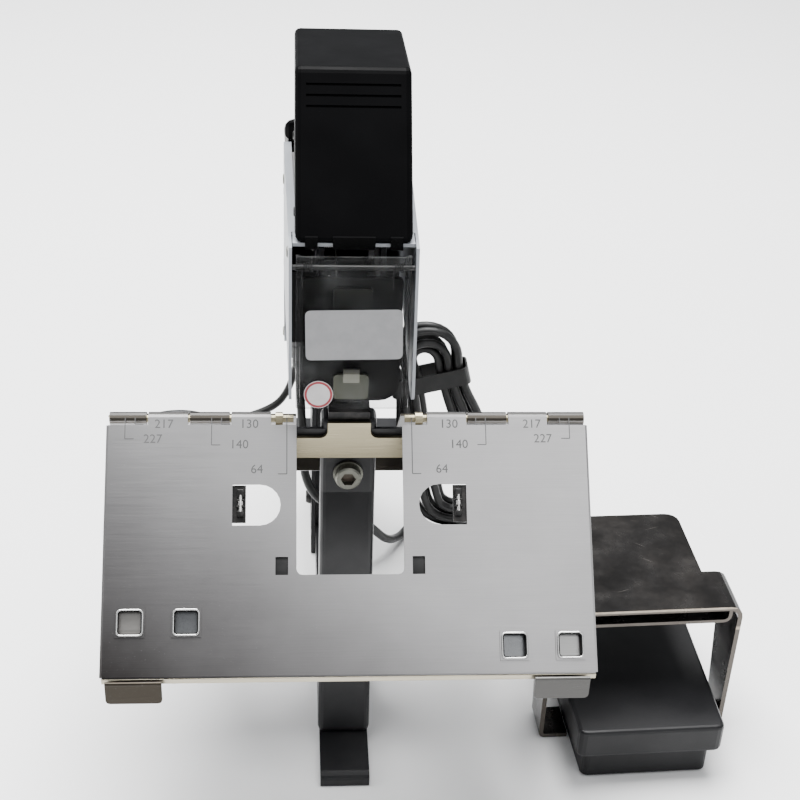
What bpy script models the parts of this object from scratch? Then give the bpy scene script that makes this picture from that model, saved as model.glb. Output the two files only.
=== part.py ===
"""Electric saddle stapler with its foot pedal, built as separate named pieces.

Metres, with X to the right, Y away from the person who staples and Z up. The origin lies on
the desk, under the ridge of the saddle table. Every piece is built from the named sizes below.
"""

import math

import bmesh
import bpy
from mathutils import Matrix, Vector

for old in list(bpy.data.objects):
    bpy.data.objects.remove(old, do_unlink=True)

# Clearances and cutting
GAP = 0.0003
RUNNING_GAP = 0.0006
OVERRUN = 0.002
NEARLY_HALF = 0.49
LEAST_MITRE = 0.3

# Ridge of the table and its hinge
RIDGE_HEIGHT = 0.208
LEAF_ANGLE = math.radians(45)
LEAF_THICKNESS = 0.0012
ROD_RADIUS = 0.0020
KNUCKLE_RADIUS = ROD_RADIUS + GAP + LEAF_THICKNESS
HINGE_HEIGHT = RIDGE_HEIGHT - KNUCKLE_RADIUS / math.cos(LEAF_ANGLE)

# Leaves of the table, measured along the leaf from the hinge axis
LEAF_HALF_WIDTH = 0.123
LEAF_REACH = 0.1305
REAR_LEAF_REACH = 0.105
CUTOUT_HALF_WIDTH = 0.0270
CUTOUT_REACH = 0.0805
CUTOUT_CORNER = 0.003
SIDE_FLANGE = 0.0075
FRONT_FLANGE = 0.0115
FLANGE_SETBACK = 0.013
ROLL_OPENING = math.radians(50)
ROLL_STEPS = 9
FRONT_KNUCKLES = ((0.0400, 0.0600), (0.0820, 0.1020))
REAR_KNUCKLES = ((0.0610, 0.0810), (0.1030, 0.1215))
FINGER_HOLE_FLAT = 0.0592
FINGER_HOLE_ROUND = 0.0350
FINGER_HOLE_NEAR = 0.0347
FINGER_HOLE_FAR = 0.0556
SLOT_INNER = 0.0312
SLOT_OUTER = 0.0375
SLOT_NEAR = 0.0715
WINDOW_SIZE = 0.0127
WINDOW_CORNER = 0.0022
WINDOW_RIM = 0.0010
WINDOW_RIM_HEIGHT = 0.0006
LEFT_WINDOWS_REACH = 0.1035
RIGHT_WINDOWS_REACH = 0.1165
LEFT_WINDOWS = (-0.1087, -0.0812)
RIGHT_WINDOWS = (0.0814, 0.1094)

# Bracket under the ridge
BRACKET_HALF_WIDTH = 0.0380
BRACKET_THICKNESS = 0.0025
BRACKET_FRONT = 0.0045
CROSSBAR_TOP_DROP = 0.0140
CROSSBAR_BOTTOM_DROP = 0.0262
STEM_HALF_WIDTH = 0.0110
EAR_INNER = 0.0285
EAR_TOP_DROP = 0.0098
NOTCH_CORNER = 0.004
EAR_WIDTH = 0.0040
EAR_BLOCK_RADIUS = 0.0034
EAR_BLOCK_START = math.pi * 0.85
BACKING_THICKNESS = 0.0020

# Anvil and bolt
ANVIL_THICKNESS = 0.0046
ANVIL_DEPTH = 0.0180
ANVIL_GROOVE_LENGTH = 0.0130
ANVIL_GROOVE_WIDTH = 0.0016
ANVIL_GROOVE_DEPTH = 0.0010
BOLT_DROP = 0.0375
BOLT_HEAD_RADIUS = 0.0068
BOLT_HEAD_HEIGHT = 0.0050
BOLT_SHANK_RADIUS = 0.0040
BOLT_SHANK_LENGTH = 0.0100
BOLT_SOCKET_RADIUS = 0.0040
BOLT_SOCKET_DEPTH = 0.0030
BOLT_CROWN_HEIGHT_SHARE = 0.86
BOLT_CROWN_RADIUS_SHARE = 0.88
WASHER_RADIUS = 0.0079
WASHER_THICKNESS = 0.0012

# Frame: post, foot, bar, column
BAR_WIDTH = 0.0270
BAR_HEIGHT = 0.0220
BAR_REAR = 0.266
FOOT_REACH = 0.0590
FOOT_THICKNESS = 0.0080
FOOT_CORNER = 0.0060
POST_WIDTH = 0.0290
POST_EDGE = 0.0030
POST_DEPTH_TOP = 0.0145
POST_STRAIGHT_DROP = 0.0500
POST_FOOT_REACH = 0.0265
POST_BACK_REACH = 0.0240
COLUMN_FRONT = 0.150
COLUMN_DEPTH = 0.075
SIDE_PLATE = 0.0027
SPACER_RADIUS = 0.0040
ARM_PLATE_FRONT = 0.006
ARM_PLATE_TOP = 0.300
ARM_PLATE_BOTTOM = 0.266
ARM_SHOULDER = 0.112
ARM_REAR_TOP = 0.258
CORE_TOP = 0.216
REAR_FOOT_HALF_LENGTH = 0.055
REAR_FOOT_DEPTH = 0.030
REAR_FOOT_HEIGHT = 0.014

# Side shells, lip and covers
SHELL_FRONT_HALF = 0.0310
SHELL_REAR_HALF = 0.0340
SHELL_WALL = 0.0015
SHELL_LIP = 0.0026
SHELL_TOP = 0.306
SHELL_FRONT_TOP_REACH = 0.0120
SHELL_FRONT_BOTTOM_REACH = 0.0235
CHEEK_BOTTOM = 0.226
SHELL_FLARE_END = 0.118
SHELL_REAR = 0.245
SHELL_REAR_TOP = 0.240
REAR_BODY_BOTTOM = 0.162
REAR_BODY_STEP = 0.150
LIP_THICKNESS = 0.0018
LIP_REACH = 0.0068
LIP_DEPTH = 0.012
HEAD_HALF_WIDTH = 0.0282
HEAD_WALL = 0.0022
HEAD_BASE = SHELL_TOP + GAP
HEAD_BASE_REACH = 0.0085
HEAD_BROW = 0.044
HEAD_BROW_ROOM = 0.0212
HEAD_BACK = 0.118
HEAD_BACK_ROOM = 0.0167
HEAD_EDGE = 0.003
LOUVRE_HALF_WIDTH = 0.0228
LOUVRE_WIDTH = 0.0012
LOUVRE_DEPTH = 0.0012
LOUVRE_FIRST = 0.0085
LOUVRE_PITCH = 0.0054
LOUVRE_COUNT = 3
TAB_ROOT_SHARE = 1.5
TAB_HEIGHT = 0.0031
TAB_THICKNESS = 0.0014
TAB_MIDDLE_HALF = 0.0101
TAB_SIDE_INNER = 0.0173
TAB_SIDE_OUTER = 0.0233
REAR_COVER_TOP = 0.3195
REAR_COVER_END_TOP = 0.256
REAR_COVER_WALL = 0.0022
REAR_COVER_EDGE = 0.005
REAR_PANEL_WALL = 0.0025
BELLY_CUT_SHARE = 4

# Finger guard
GUARD_HALF_WIDTH = 0.0276
GUARD_WALL = 0.0020
GUARD_LEAN = math.radians(9.8)
GUARD_BOTTOM = 0.226
GUARD_BOTTOM_REACH = 0.0270
GUARD_TOP = 0.3020
GUARD_SIDE_DEPTH = 0.018
GUARD_PIN_HEIGHT = 0.2950
GUARD_PIN_REACH = 0.0103
GUARD_PIN_RADIUS = 0.0014
GUARD_BOSS_RADIUS = 0.0044
GUARD_SPRING_RADIUS = 0.0021
GUARD_SPRING_WIRE = 0.00035
GUARD_SPRING_TURNS = 5
GUARD_SPRING_PITCH = 0.00115
GUARD_SPRING_LEG = 0.0100

# Stapling head
HEAD_PLATE_HALF = 0.0243
HEAD_PLATE_FRONT = 0.0080
HEAD_PLATE_THICKNESS = 0.0025
HEAD_PLATE_BOTTOM = 0.2190
HEAD_PLATE_TOP = 0.2880
HEAD_PLATE_CORNER = 0.010
NOSE_HALF_WIDTH = 0.0088
NOSE_TOP = 0.2352
NOSE_THICKNESS = 0.0016
NOSE_CORNER = 0.0020
LATCH_HALF_WIDTH = 0.0040
LATCH_BOTTOM = 0.2325
LATCH_TOP = 0.2393
LATCH_THICKNESS = 0.0030
LATCH_TOP_SHARE = 0.5
LATCH_SLOPE_SHARE = 0.6
GUIDE_HALF_WIDTH = 0.0095
GUIDE_BOTTOM = 0.2640
GUIDE_TOP = 0.2835
GUIDE_THICKNESS = 0.0020
RAIL_HALF_WIDTH = 0.0090
RAIL_WALL = 0.0012
RAIL_HEIGHT = 0.0110
RAIL_BOTTOM = 0.2200
RAIL_REAR = 0.106
STRIP_HALF_WIDTH = 0.0062
STRIP_HEIGHT = 0.0060
STRIP_LENGTH = 0.045
STRIP_WALL = 0.0006
PUSHER_LENGTH = 0.012
PUSHER_HEIGHT = 0.0070
HEAD_PIVOT_REACH = 0.118
HEAD_PIVOT_HEIGHT = 0.246
PIVOT_PIN_RADIUS = 0.0030
PIN_HEAD_SHARE = 1.6
PIVOT_BOSS_RADIUS = 0.0068
ARM_BAR_HALF_WIDTH = 0.0045
ARM_ROOT_SHARE = 0.9
ARM_EYE_START = -math.pi * 0.2
ARM_EYE_END = math.pi * 0.95
PUSHER_SLOPE_SHARE = 0.7

# Drive
LEVER_PIVOT_REACH = 0.128
LEVER_PIVOT_HEIGHT = 0.274
LEVER_HALF_WIDTH = 0.0070
LEVER_NOSE_REACH = 0.004
LEVER_TOP = 0.2830
LEVER_DEPTH = 0.0085
LEVER_BOSS_RADIUS = 0.0080
LEVER_NOSE_SHARE = 0.3
LEVER_EYE_START = -math.pi * 0.75
LEVER_EYE_END = math.pi * 0.6
HOLDER_HALF_WIDTH = 0.0080
HOLDER_DEPTH = 0.0060
HOLDER_HEIGHT = 0.0080
BLADE_HALF_WIDTH = 0.0060
BLADE_THICKNESS = 0.0010
BLADE_BOTTOM = 0.2340
SOLENOID_REACH = 0.082
SOLENOID_BASE_DEPTH = 0.0560
SOLENOID_BASE_THICKNESS = 0.0030
YOKE_HALF_WIDTH = 0.0220
YOKE_WALL = 0.0040
YOKE_DEPTH = 0.0420
YOKE_HEIGHT = 0.0500
BOBBIN_RADIUS = 0.0170
BOBBIN_FLANGE = 0.0015
WINDING_RADIUS = 0.0160
BOBBIN_TUBE_RADIUS = 0.0088
PLUNGER_RADIUS = 0.0065
PLUNGER_STAND = 0.033
SPRING_WIRE = 0.0005
RETURN_SPRING_RADIUS = 0.0042
RETURN_SPRING_TURNS = 3

# Catches and paper stops, measured along the leaf as above
CATCH_X = 0.0562
CATCH_REACH = 0.0445
CATCH_LENGTH = 0.0190
CATCH_HEIGHT = 0.0085
CATCH_WALL = 0.0015
CATCH_WIDTH = 0.0075
CATCH_PIN_RADIUS = 0.0021
CATCH_PIN_LENGTH = 0.0026
STOP_INNER = 0.0925
STOP_WIDTH = 0.0275
STOP_STRIP_WIDTH = 0.0200
STOP_THICKNESS = 0.0010
STOP_LIP_HEIGHT = 0.0120
STOP_LIP_REACH_SHARE = 0.66
STOP_LIP_RISE_SHARE = 0.58
STOP_CLEARANCE = 0.0018
STOP_LENGTH = 0.0660
STOP_RETURN = 0.0022
GUIDE_RAIL_WALL = 0.0010
GUIDE_RAIL_LENGTH = 0.0500
GUIDE_RAIL_REACH = 0.0700
RIGHT_STOP_SHIFT = 0.0015

# Controls and glands on the rear body
SWITCH_RISE = 0.043
SWITCH_WIDTH = 0.0150
SWITCH_TALL = 0.0210
SWITCH_BEZEL = 0.0020
ROCKER_TILT = math.radians(10)
ROCKER_CREST_SHARE = 1.6
ROCKER_END_GAPS = 3
KNOB_SPACING = 0.035
KNOB_RADIUS = 0.0085
KNOB_LENGTH = 0.0090
KNOB_FLUTES = 16
KNOB_SHAFT_RADIUS = 0.0030
CONTROL_OFFSET = 0.0140
MAINS_GLAND_RISE = 0.018
PEDAL_GLAND_X = -0.0245
PEDAL_GLAND_Y = 0.165
GLAND_RADIUS = 0.0062
GLAND_NUT = 0.0050
GLAND_LENGTH = 0.0260
GLAND_FLANGE_SHARE = 1.2
GLAND_RIBS = 4
GLAND_TAPER_SHARE = 0.6
GLAND_RIB_SHARE = 0.16
GLAND_GROOVE_SHARE = 0.18

# Pedal: own frame at its centre on the desk, turned a little on the desk
PEDAL_X = 0.1655
PEDAL_Y = 0.0020
PEDAL_YAW = math.radians(2.6)
PEDAL_FRONT = 0.0615
PEDAL_REAR = 0.0680
TREADLE_FRONT_HALF = 0.0410
TREADLE_REAR_HALF = 0.0435
TREADLE_TOP = 0.0385
TREADLE_WALL = 0.0024
TREADLE_EDGE = 0.0045
PEDAL_BASE_INSET = 0.0052
PEDAL_BASE_EDGE = 0.0040
PEDAL_BASE_HEIGHT = 0.0165
PEDAL_TROUGH = 0.0110
PEDAL_BASE_WALL = 0.0030
PEDAL_PIN_REACH = 0.0560
PEDAL_PIN_HEIGHT = 0.0245
PEDAL_PIN_RADIUS = 0.0020
PEDAL_CHEEK_THICKNESS = 0.0040
PEDAL_BOSS_RADIUS = 0.0048
PEDAL_SPRING_RADIUS = 0.0060
PEDAL_SPRING_TURNS = 5
PEDAL_SPRING_WIRE = 0.0007
PEDAL_SPRING_REACH = 0.0200
PEDAL_SWITCH_SIZE = 0.0120
PEDAL_SWITCH_HEIGHT = 0.0160
PEDAL_FOOT_RADIUS = 0.0060
PEDAL_FOOT_HEIGHT = 0.0016

# Steel guard over the pedal
BRIDGE_HALF_WIDTH = 0.0540
BRIDGE_HEIGHT = 0.0920
BRIDGE_THICKNESS = 0.0026
BRIDGE_FRONT = 0.0240
BRIDGE_BACK = 0.0080
BRIDGE_LEG_BACK = 0.0020
BRIDGE_BEND = 0.0075
TONGUE_HALF_WIDTH = 0.0385
TONGUE_REACH = 0.0640
LEG_TIP_CORNER = 0.0085
SHELF_HEIGHT = 0.0790
SHELF_HALF_WIDTH = 0.0490
SHELF_BEND = 0.0050
SHELF_THICKNESS = 0.0020

# Cords
CORD_RADIUS = 0.0028
CORD_POINT_STEP = 0.0150
ROUTE_STEPS = 24
MAINS_LEAD_POINTS = ((-0.0150, 0.2900, 0.1700), (-0.0170, 0.3040, 0.1440), (-0.0200, 0.3100, 0.1000),
                     (-0.0250, 0.3125, 0.0550), (-0.0370, 0.3130, 0.0200), (-0.0600, 0.3120, 0.0060),
                     (-0.0800, 0.3118, 0.0033))
MAINS_TAIL_POINTS = ((-0.1480, 0.2520, 0.0088), (-0.1430, 0.2410, 0.0095), (-0.1380, 0.2320, 0.0102))
PEDAL_LEAD_POINTS = ((-0.0235, 0.1580, 0.1120), (-0.0220, 0.1460, 0.0880), (-0.0200, 0.1370, 0.0700),
                     (-0.0120, 0.1320, 0.0580), (0.0040, 0.1310, 0.0500), (0.0200, 0.1330, 0.0360),
                     (0.0330, 0.1420, 0.0180), (0.0430, 0.1590, 0.0070), (0.0560, 0.1780, 0.0034))
PEDAL_CORD_POINTS = ((0.1180, 0.2000, 0.0034), (0.1400, 0.1780, 0.0033), (0.1530, 0.1440, 0.0033),
                     (0.1600, 0.1080, 0.0040))
COIL_POINTS = 24
MAINS_COIL_X = -0.112
MAINS_COIL_Y = 0.272
MAINS_COIL_INNER = 0.0118
MAINS_COIL_STEP = 0.0071
MAINS_COIL_TURNS = 4
MAINS_COIL_LAYER_STEP = 0.0068
HANK_X = 0.0690
HANK_Y = 0.1720
HANK_TILT = math.radians(14)
HANK_INNER_HALF_WIDTH = 0.0080
HANK_INNER_HALF_HEIGHT = 0.0600
HANK_STEP = 0.0094
HANK_LAYER_STEP = 0.0072
HANK_TURNS = 2.25
HANK_WAIST_SHARE = 0.12
HANK_TIE_SHARE = 0.50
HANK_TIE_SPREAD = 0.025
TIE_WIDTH = 0.0120
TIE_WALL = 0.0012
PLUG_X = -0.1360
PLUG_Y = 0.2260
PLUG_LENGTH = 0.0380
PLUG_WIDTH = 0.0300
PLUG_HEIGHT = 0.0200
PLUG_PIN_LENGTH = 0.0170
PLUG_PIN_WIDTH = 0.0062
PLUG_PIN_THICKNESS = 0.0016
PLUG_PIN_SPACING = 0.0127
PLUG_NECK_SHARE = 0.45
PLUG_SHOULDER_SHARE = 0.55
PLUG_ROUNDING_SHARE = 0.5
PLUG_BOOT_SHARE = 0.8
CORD_BOOT_LENGTH = 0.0240
CORD_BOOT_RADIUS = 0.0058

# Places that follow from the sizes above
YOKE_ROOF = ARM_PLATE_TOP + GAP + SOLENOID_BASE_THICKNESS + YOKE_HEIGHT
HEAD_BROW_HEIGHT = YOKE_ROOF + HEAD_BROW_ROOM
HEAD_BACK_HEIGHT = YOKE_ROOF + HEAD_BACK_ROOM
PLUNGER_TOP = ARM_PLATE_TOP + PLUNGER_STAND
SWITCH_HEIGHT = REAR_BODY_BOTTOM + SWITCH_RISE
MAINS_GLAND_HEIGHT = REAR_BODY_BOTTOM + MAINS_GLAND_RISE
KNOB_HEIGHT = MAINS_GLAND_HEIGHT + KNOB_SPACING

FINISHES = {}


def finish(name, colour, metallic, roughness, alpha=1.0):
    """A Principled material with the piece's colour, kept under its name."""
    material = bpy.data.materials.new(name)
    material.use_nodes = True
    shader = material.node_tree.nodes["Principled BSDF"]
    shader.inputs["Base Color"].default_value = (*colour, 1.0)
    shader.inputs["Metallic"].default_value = metallic
    shader.inputs["Roughness"].default_value = roughness
    shader.inputs["Alpha"].default_value = alpha
    material.diffuse_color = (*colour, alpha)
    FINISHES[name] = material


finish("frame_paint", (0.012, 0.012, 0.013), 0.0, 0.38)
finish("shell_paint", (0.55, 0.57, 0.60), 0.0, 0.42)
finish("cover_plastic", (0.006, 0.006, 0.007), 0.0, 0.40)
finish("brushed_steel", (0.55, 0.55, 0.55), 1.0, 0.34)
finish("nickel", (0.62, 0.57, 0.47), 1.0, 0.30)
finish("bright_steel", (0.72, 0.71, 0.69), 1.0, 0.20)
finish("dark_steel", (0.05, 0.05, 0.05), 1.0, 0.40)
finish("olive_steel", (0.10, 0.10, 0.06), 1.0, 0.45)
finish("clear_plastic", (0.30, 0.30, 0.30), 0.0, 0.10, 0.35)
finish("copper", (0.72, 0.33, 0.16), 1.0, 0.35)
finish("black_rubber", (0.010, 0.010, 0.010), 0.0, 0.60)
finish("pedal_plastic", (0.014, 0.014, 0.016), 0.0, 0.50)
finish("bridge_steel", (0.08, 0.08, 0.08), 1.0, 0.30)
finish("switch_red", (0.55, 0.03, 0.02), 0.0, 0.35)


def put(bm, name, material, pivot=(0, 0, 0), turn=(0, 0, 0), smooth=False):
    """Turn a mesh into a named object whose origin is its pivot."""
    bmesh.ops.recalc_face_normals(bm, faces=bm.faces)
    mesh = bpy.data.meshes.new(name)
    bm.to_mesh(mesh)
    bm.free()
    mesh.materials.append(FINISHES[material])
    piece = bpy.data.objects.new(name, mesh)
    bpy.context.scene.collection.objects.link(piece)
    piece.location = pivot
    piece.rotation_euler = turn
    if smooth:
        mesh.shade_smooth()
        mesh.set_sharp_from_angle(angle=math.radians(35))
    return piece


def tool(bm, name, pivot=(0, 0, 0), turn=(0, 0, 0)):
    """A hidden shape that another piece is cut or joined with."""
    shape = put(bm, name, "dark_steel", pivot, turn)
    shape.hide_render = True
    shape.display_type = "WIRE"
    return shape


def combine(piece, shape, operation="DIFFERENCE"):
    """Cut or join a piece with a hidden shape."""
    change = piece.modifiers.new(operation.lower(), "BOOLEAN")
    change.operation = operation
    change.solver = "EXACT"
    change.object = shape


def soften(piece, width, segments=2, angle=math.radians(40)):
    """Round the sharp edges of a piece."""
    edge = piece.modifiers.new("edges", "BEVEL")
    edge.width = width
    edge.segments = segments
    edge.limit_method = "ANGLE"
    edge.angle_limit = angle


AXES = {"X": (1, 2, 0), "Y": (0, 2, 1), "Z": (0, 1, 2)}


def prism(bm, outline, axis, low, high):
    """Extrude an outline along an axis. Outline points are the two other coordinates in order."""
    first, second, third = AXES[axis]
    ends = []
    for level in (low, high):
        ring = []
        for point in outline:
            place = [0.0, 0.0, 0.0]
            place[first], place[second], place[third] = point[0], point[1], level
            ring.append(bm.verts.new(place))
        ends.append(ring)
    count = len(outline)
    faces = [bm.faces.new(ends[0]), bm.faces.new(list(reversed(ends[1])))]
    for index in range(count):
        after = (index + 1) % count
        faces.append(bm.faces.new((ends[0][index], ends[0][after], ends[1][after], ends[1][index])))
    bmesh.ops.recalc_face_normals(bm, faces=faces)


def box(bm, low, high):
    """An upright block between two corners."""
    outline = [(low[0], low[1]), (high[0], low[1]), (high[0], high[1]), (low[0], high[1])]
    prism(bm, outline, "Z", low[2], high[2])


def rod(bm, axis, centre, radius, low, high, sides=20):
    """A round bar along an axis. The centre is the two other coordinates in order."""
    outline = []
    for step in range(sides):
        angle = 2 * math.pi * step / sides
        outline.append((centre[0] + radius * math.cos(angle), centre[1] + radius * math.sin(angle)))
    prism(bm, outline, axis, low, high)


def lathe(bm, axis, centre, profile, sides=24, hollow=False):
    """Turn a profile of (radius, place along the axis) points round an axis.

    A solid profile starts and ends at zero radius; a hollow one joins its last point to its first.
    """
    first, second, third = AXES[axis]
    rings = []
    for radius, level in profile:
        ring = []
        for step in range(sides if radius > 0 else 1):
            angle = 2 * math.pi * step / sides
            place = [0.0, 0.0, 0.0]
            place[first] = centre[0] + radius * math.cos(angle)
            place[second] = centre[1] + radius * math.sin(angle)
            place[third] = level
            ring.append(bm.verts.new(place))
        rings.append(ring)
    for near, far in zip(rings, rings[1:] + rings[:1] if hollow else rings[1:]):
        for step in range(sides):
            after = (step + 1) % sides
            if len(near) == 1:
                bm.faces.new((near[0], far[step], far[after]))
            elif len(far) == 1:
                bm.faces.new((near[step], near[after], far[0]))
            else:
                bm.faces.new((near[step], near[after], far[after], far[step]))


def pipe(bm, axis, centre, outer, inner, low, high, sides=24):
    """A round tube along an axis."""
    lathe(bm, axis, centre, [(outer, low), (outer, high), (inner, high), (inner, low)], sides, True)


def rounded(outline, radius, steps=4):
    """The outline with its corners turned into arcs; radius is one value or one for each corner."""
    radii = radius if isinstance(radius, (list, tuple)) else [radius] * len(outline)
    points = []
    for index, corner in enumerate(outline):
        here = Vector(corner)
        before = Vector(outline[index - 1]) - here
        after = Vector(outline[(index + 1) % len(outline)]) - here
        half = before.angle(after) / 2
        if radii[index] <= 0:
            points.append(tuple(here))
            continue
        reach = min(radii[index] / math.tan(half), before.length * NEARLY_HALF, after.length * NEARLY_HALF)
        fillet = reach * math.tan(half)
        middle = here + (before.normalized() + after.normalized()).normalized() * (fillet / math.sin(half))
        start = here + before.normalized() * reach - middle
        sweep = start.angle_signed(here + after.normalized() * reach - middle)
        for step in range(steps + 1):
            turned = Matrix.Rotation(-sweep * step / steps, 2) @ start
            points.append(tuple(middle + turned))
    return points


def strip_outline(path, thickness):
    """The outline of a bent sheet: its outer path and the same path one thickness inside, to the left."""
    points = [Vector(point) for point in path]
    inner = []
    for index, here in enumerate(points):
        ways = []
        if index > 0:
            ways.append((here - points[index - 1]).normalized())
        if index < len(points) - 1:
            ways.append((points[index + 1] - here).normalized())
        normals = [Vector((-way.y, way.x)) for way in ways]
        middle = sum(normals, Vector((0, 0))).normalized()
        inner.append(here + middle * thickness / max(LEAST_MITRE, middle.dot(normals[0])))
    return [tuple(point) for point in points] + [tuple(point) for point in reversed(inner)]


def arc(centre, radius, start, end, steps):
    """Points on an arc, ends included."""
    points = []
    for step in range(steps + 1):
        angle = start + (end - start) * step / steps
        points.append((centre[0] + radius * math.cos(angle), centre[1] + radius * math.sin(angle)))
    return points


def smooth_route(points, spacing):
    """Points at an even spacing on a smooth curve through the given points, with straight end pieces."""
    route = [Vector(point) for point in points]
    fine = []
    for index in range(1, len(route) - 2):
        before, start, end, after = route[index - 1:index + 3]
        reach = (end - start).length / 3
        leave = start + (end - before).normalized() * reach
        arrive = end - (after - start).normalized() * reach
        for step in range(ROUTE_STEPS):
            share = step / ROUTE_STEPS
            rest = 1 - share
            fine.append(start * rest ** 3 + leave * (3 * rest ** 2 * share) + arrive * (3 * rest * share ** 2)
                        + end * share ** 3)
    fine.append(route[-2])
    lengths = [0.0]
    for near, far in zip(fine, fine[1:]):
        lengths.append(lengths[-1] + (far - near).length)
    count = max(2, round(lengths[-1] / spacing))
    even = [route[0]]
    index = 0
    for step in range(count + 1):
        goal = lengths[-1] * step / count
        while index < len(lengths) - 2 and lengths[index + 1] < goal:
            index += 1
        share = (goal - lengths[index]) / (lengths[index + 1] - lengths[index])
        even.append(fine[index].lerp(fine[index + 1], share))
    return even + [route[-1]]


def wire(name, points, radius, material, resolution=2):
    """A round wire along points, as a curve with a bevel and closed ends."""
    data = bpy.data.curves.new(name, "CURVE")
    data.dimensions = "3D"
    data.bevel_depth = radius
    data.bevel_resolution = resolution
    data.use_fill_caps = True
    spline = data.splines.new("POLY")
    spline.points.add(len(points) - 1)
    for target, point in zip(spline.points, points):
        target.co = (*point, 1.0)
    data.materials.append(FINISHES[material])
    piece = bpy.data.objects.new(name, data)
    bpy.context.scene.collection.objects.link(piece)
    return piece


def least_gap(points, radius, skip):
    """The least gap between a tube and itself, leaving out neighbours along the tube."""
    least = 1.0
    for index, here in enumerate(points):
        for other in points[index + skip:]:
            least = min(least, (here - other).length)
    return least - 2 * radius


def inset(outline, depth):
    """A convex outline moved inwards by a depth on every side."""
    centre = sum((Vector(point) for point in outline), Vector((0, 0))) / len(outline)
    lines = []
    for index, here in enumerate(outline):
        start, end = Vector(here), Vector(outline[(index + 1) % len(outline)])
        way = (end - start).normalized()
        normal = Vector((-way.y, way.x))
        if normal.dot(centre - start) < 0:
            normal = -normal
        lines.append((start + normal * depth, way))
    points = []
    for index, (start, way) in enumerate(lines):
        other, along = lines[index - 1]
        share = (start - other).cross(way) / along.cross(way)
        points.append(tuple(other + along * share))
    return points


def loft(bm, sections):
    """Join cross-sections with equal numbers of points into one closed body."""
    rings = [[bm.verts.new(point) for point in section] for section in sections]
    bm.faces.new(rings[0])
    bm.faces.new(list(reversed(rings[-1])))
    for near, far in zip(rings, rings[1:]):
        for index in range(len(near)):
            after = (index + 1) % len(near)
            bm.faces.new((near[index], near[after], far[after], far[index]))
    bmesh.ops.recalc_face_normals(bm, faces=bm.faces)


def helix(axis, centre, radius, start, turns, pitch, points_per_turn=8, angle=0.0):
    """Points along a coil spring."""
    first, second, third = AXES[axis]
    points = []
    for step in range(round(turns * points_per_turn) + 1):
        turned = angle + 2 * math.pi * step / points_per_turn
        place = [0.0, 0.0, 0.0]
        place[first] = centre[0] + radius * math.cos(turned)
        place[second] = centre[1] + radius * math.sin(turned)
        place[third] = start + pitch * step / points_per_turn
        points.append(tuple(place))
    return points


def base_frame():
    """The bar along the desk with its foot under the post and the cross foot behind."""
    bm = bmesh.new()
    seat = POST_BACK_REACH + 2 * GAP
    outline = [(-FOOT_REACH, 0), (-FOOT_REACH, FOOT_THICKNESS), (seat, FOOT_THICKNESS),
               (seat, BAR_HEIGHT), (BAR_REAR + REAR_FOOT_DEPTH / 2, BAR_HEIGHT),
               (BAR_REAR + REAR_FOOT_DEPTH / 2, 0)]
    prism(bm, rounded(outline, [0, FOOT_CORNER, 0, 0, 0, 0]), "X", -BAR_WIDTH / 2, BAR_WIDTH / 2)
    piece = put(bm, "base_frame", "frame_paint")
    bm = bmesh.new()
    box(bm, (-REAR_FOOT_HALF_LENGTH, BAR_REAR, 0),
        (REAR_FOOT_HALF_LENGTH, BAR_REAR + REAR_FOOT_DEPTH, REAR_FOOT_HEIGHT))
    combine(piece, tool(bm, "rear_foot_shape"), "UNION")


def front_post():
    """The post in front, tapering up to the anvil, with the plate welded behind the bracket."""
    top = RIDGE_HEIGHT - ANVIL_THICKNESS - GAP
    front = -BRACKET_FRONT + BRACKET_THICKNESS + GAP
    knee = RIDGE_HEIGHT - POST_STRAIGHT_DROP
    outline = [(front, top), (front, knee), (-POST_FOOT_REACH, FOOT_THICKNESS + GAP),
               (POST_BACK_REACH, FOOT_THICKNESS + GAP), (front + POST_DEPTH_TOP, knee),
               (front + POST_DEPTH_TOP, top)]
    bm = bmesh.new()
    prism(bm, outline, "X", -POST_WIDTH / 2, POST_WIDTH / 2)
    piece = put(bm, "front_post", "frame_paint", smooth=True)
    soften(piece, POST_EDGE, 3)
    bm = bmesh.new()
    low = RIDGE_HEIGHT - CROSSBAR_BOTTOM_DROP
    high = RIDGE_HEIGHT - EAR_TOP_DROP - GAP
    box(bm, (-BRACKET_HALF_WIDTH, front, low), (BRACKET_HALF_WIDTH, front + BACKING_THICKNESS, high))
    combine(piece, tool(bm, "post_head_shape"), "UNION")
    bm = bmesh.new()
    rod(bm, "Y", (0, RIDGE_HEIGHT - BOLT_DROP), BOLT_SHANK_RADIUS + GAP, front - OVERRUN,
        front + BOLT_SHANK_LENGTH + GAP)
    combine(piece, tool(bm, "post_bolt_hole"))


def column_core():
    """The welded channel between the side plates of the column."""
    wall = SIDE_PLATE
    half = BAR_WIDTH / 2
    front, rear = COLUMN_FRONT + wall, COLUMN_FRONT + COLUMN_DEPTH - wall
    outline = [(-half, front), (half, front), (half, rear), (half - wall, rear),
               (half - wall, front + wall), (wall - half, front + wall), (wall - half, rear), (-half, rear)]
    bm = bmesh.new()
    prism(bm, outline, "Z", BAR_HEIGHT + GAP, CORE_TOP)
    put(bm, "column_core", "frame_paint")


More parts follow.
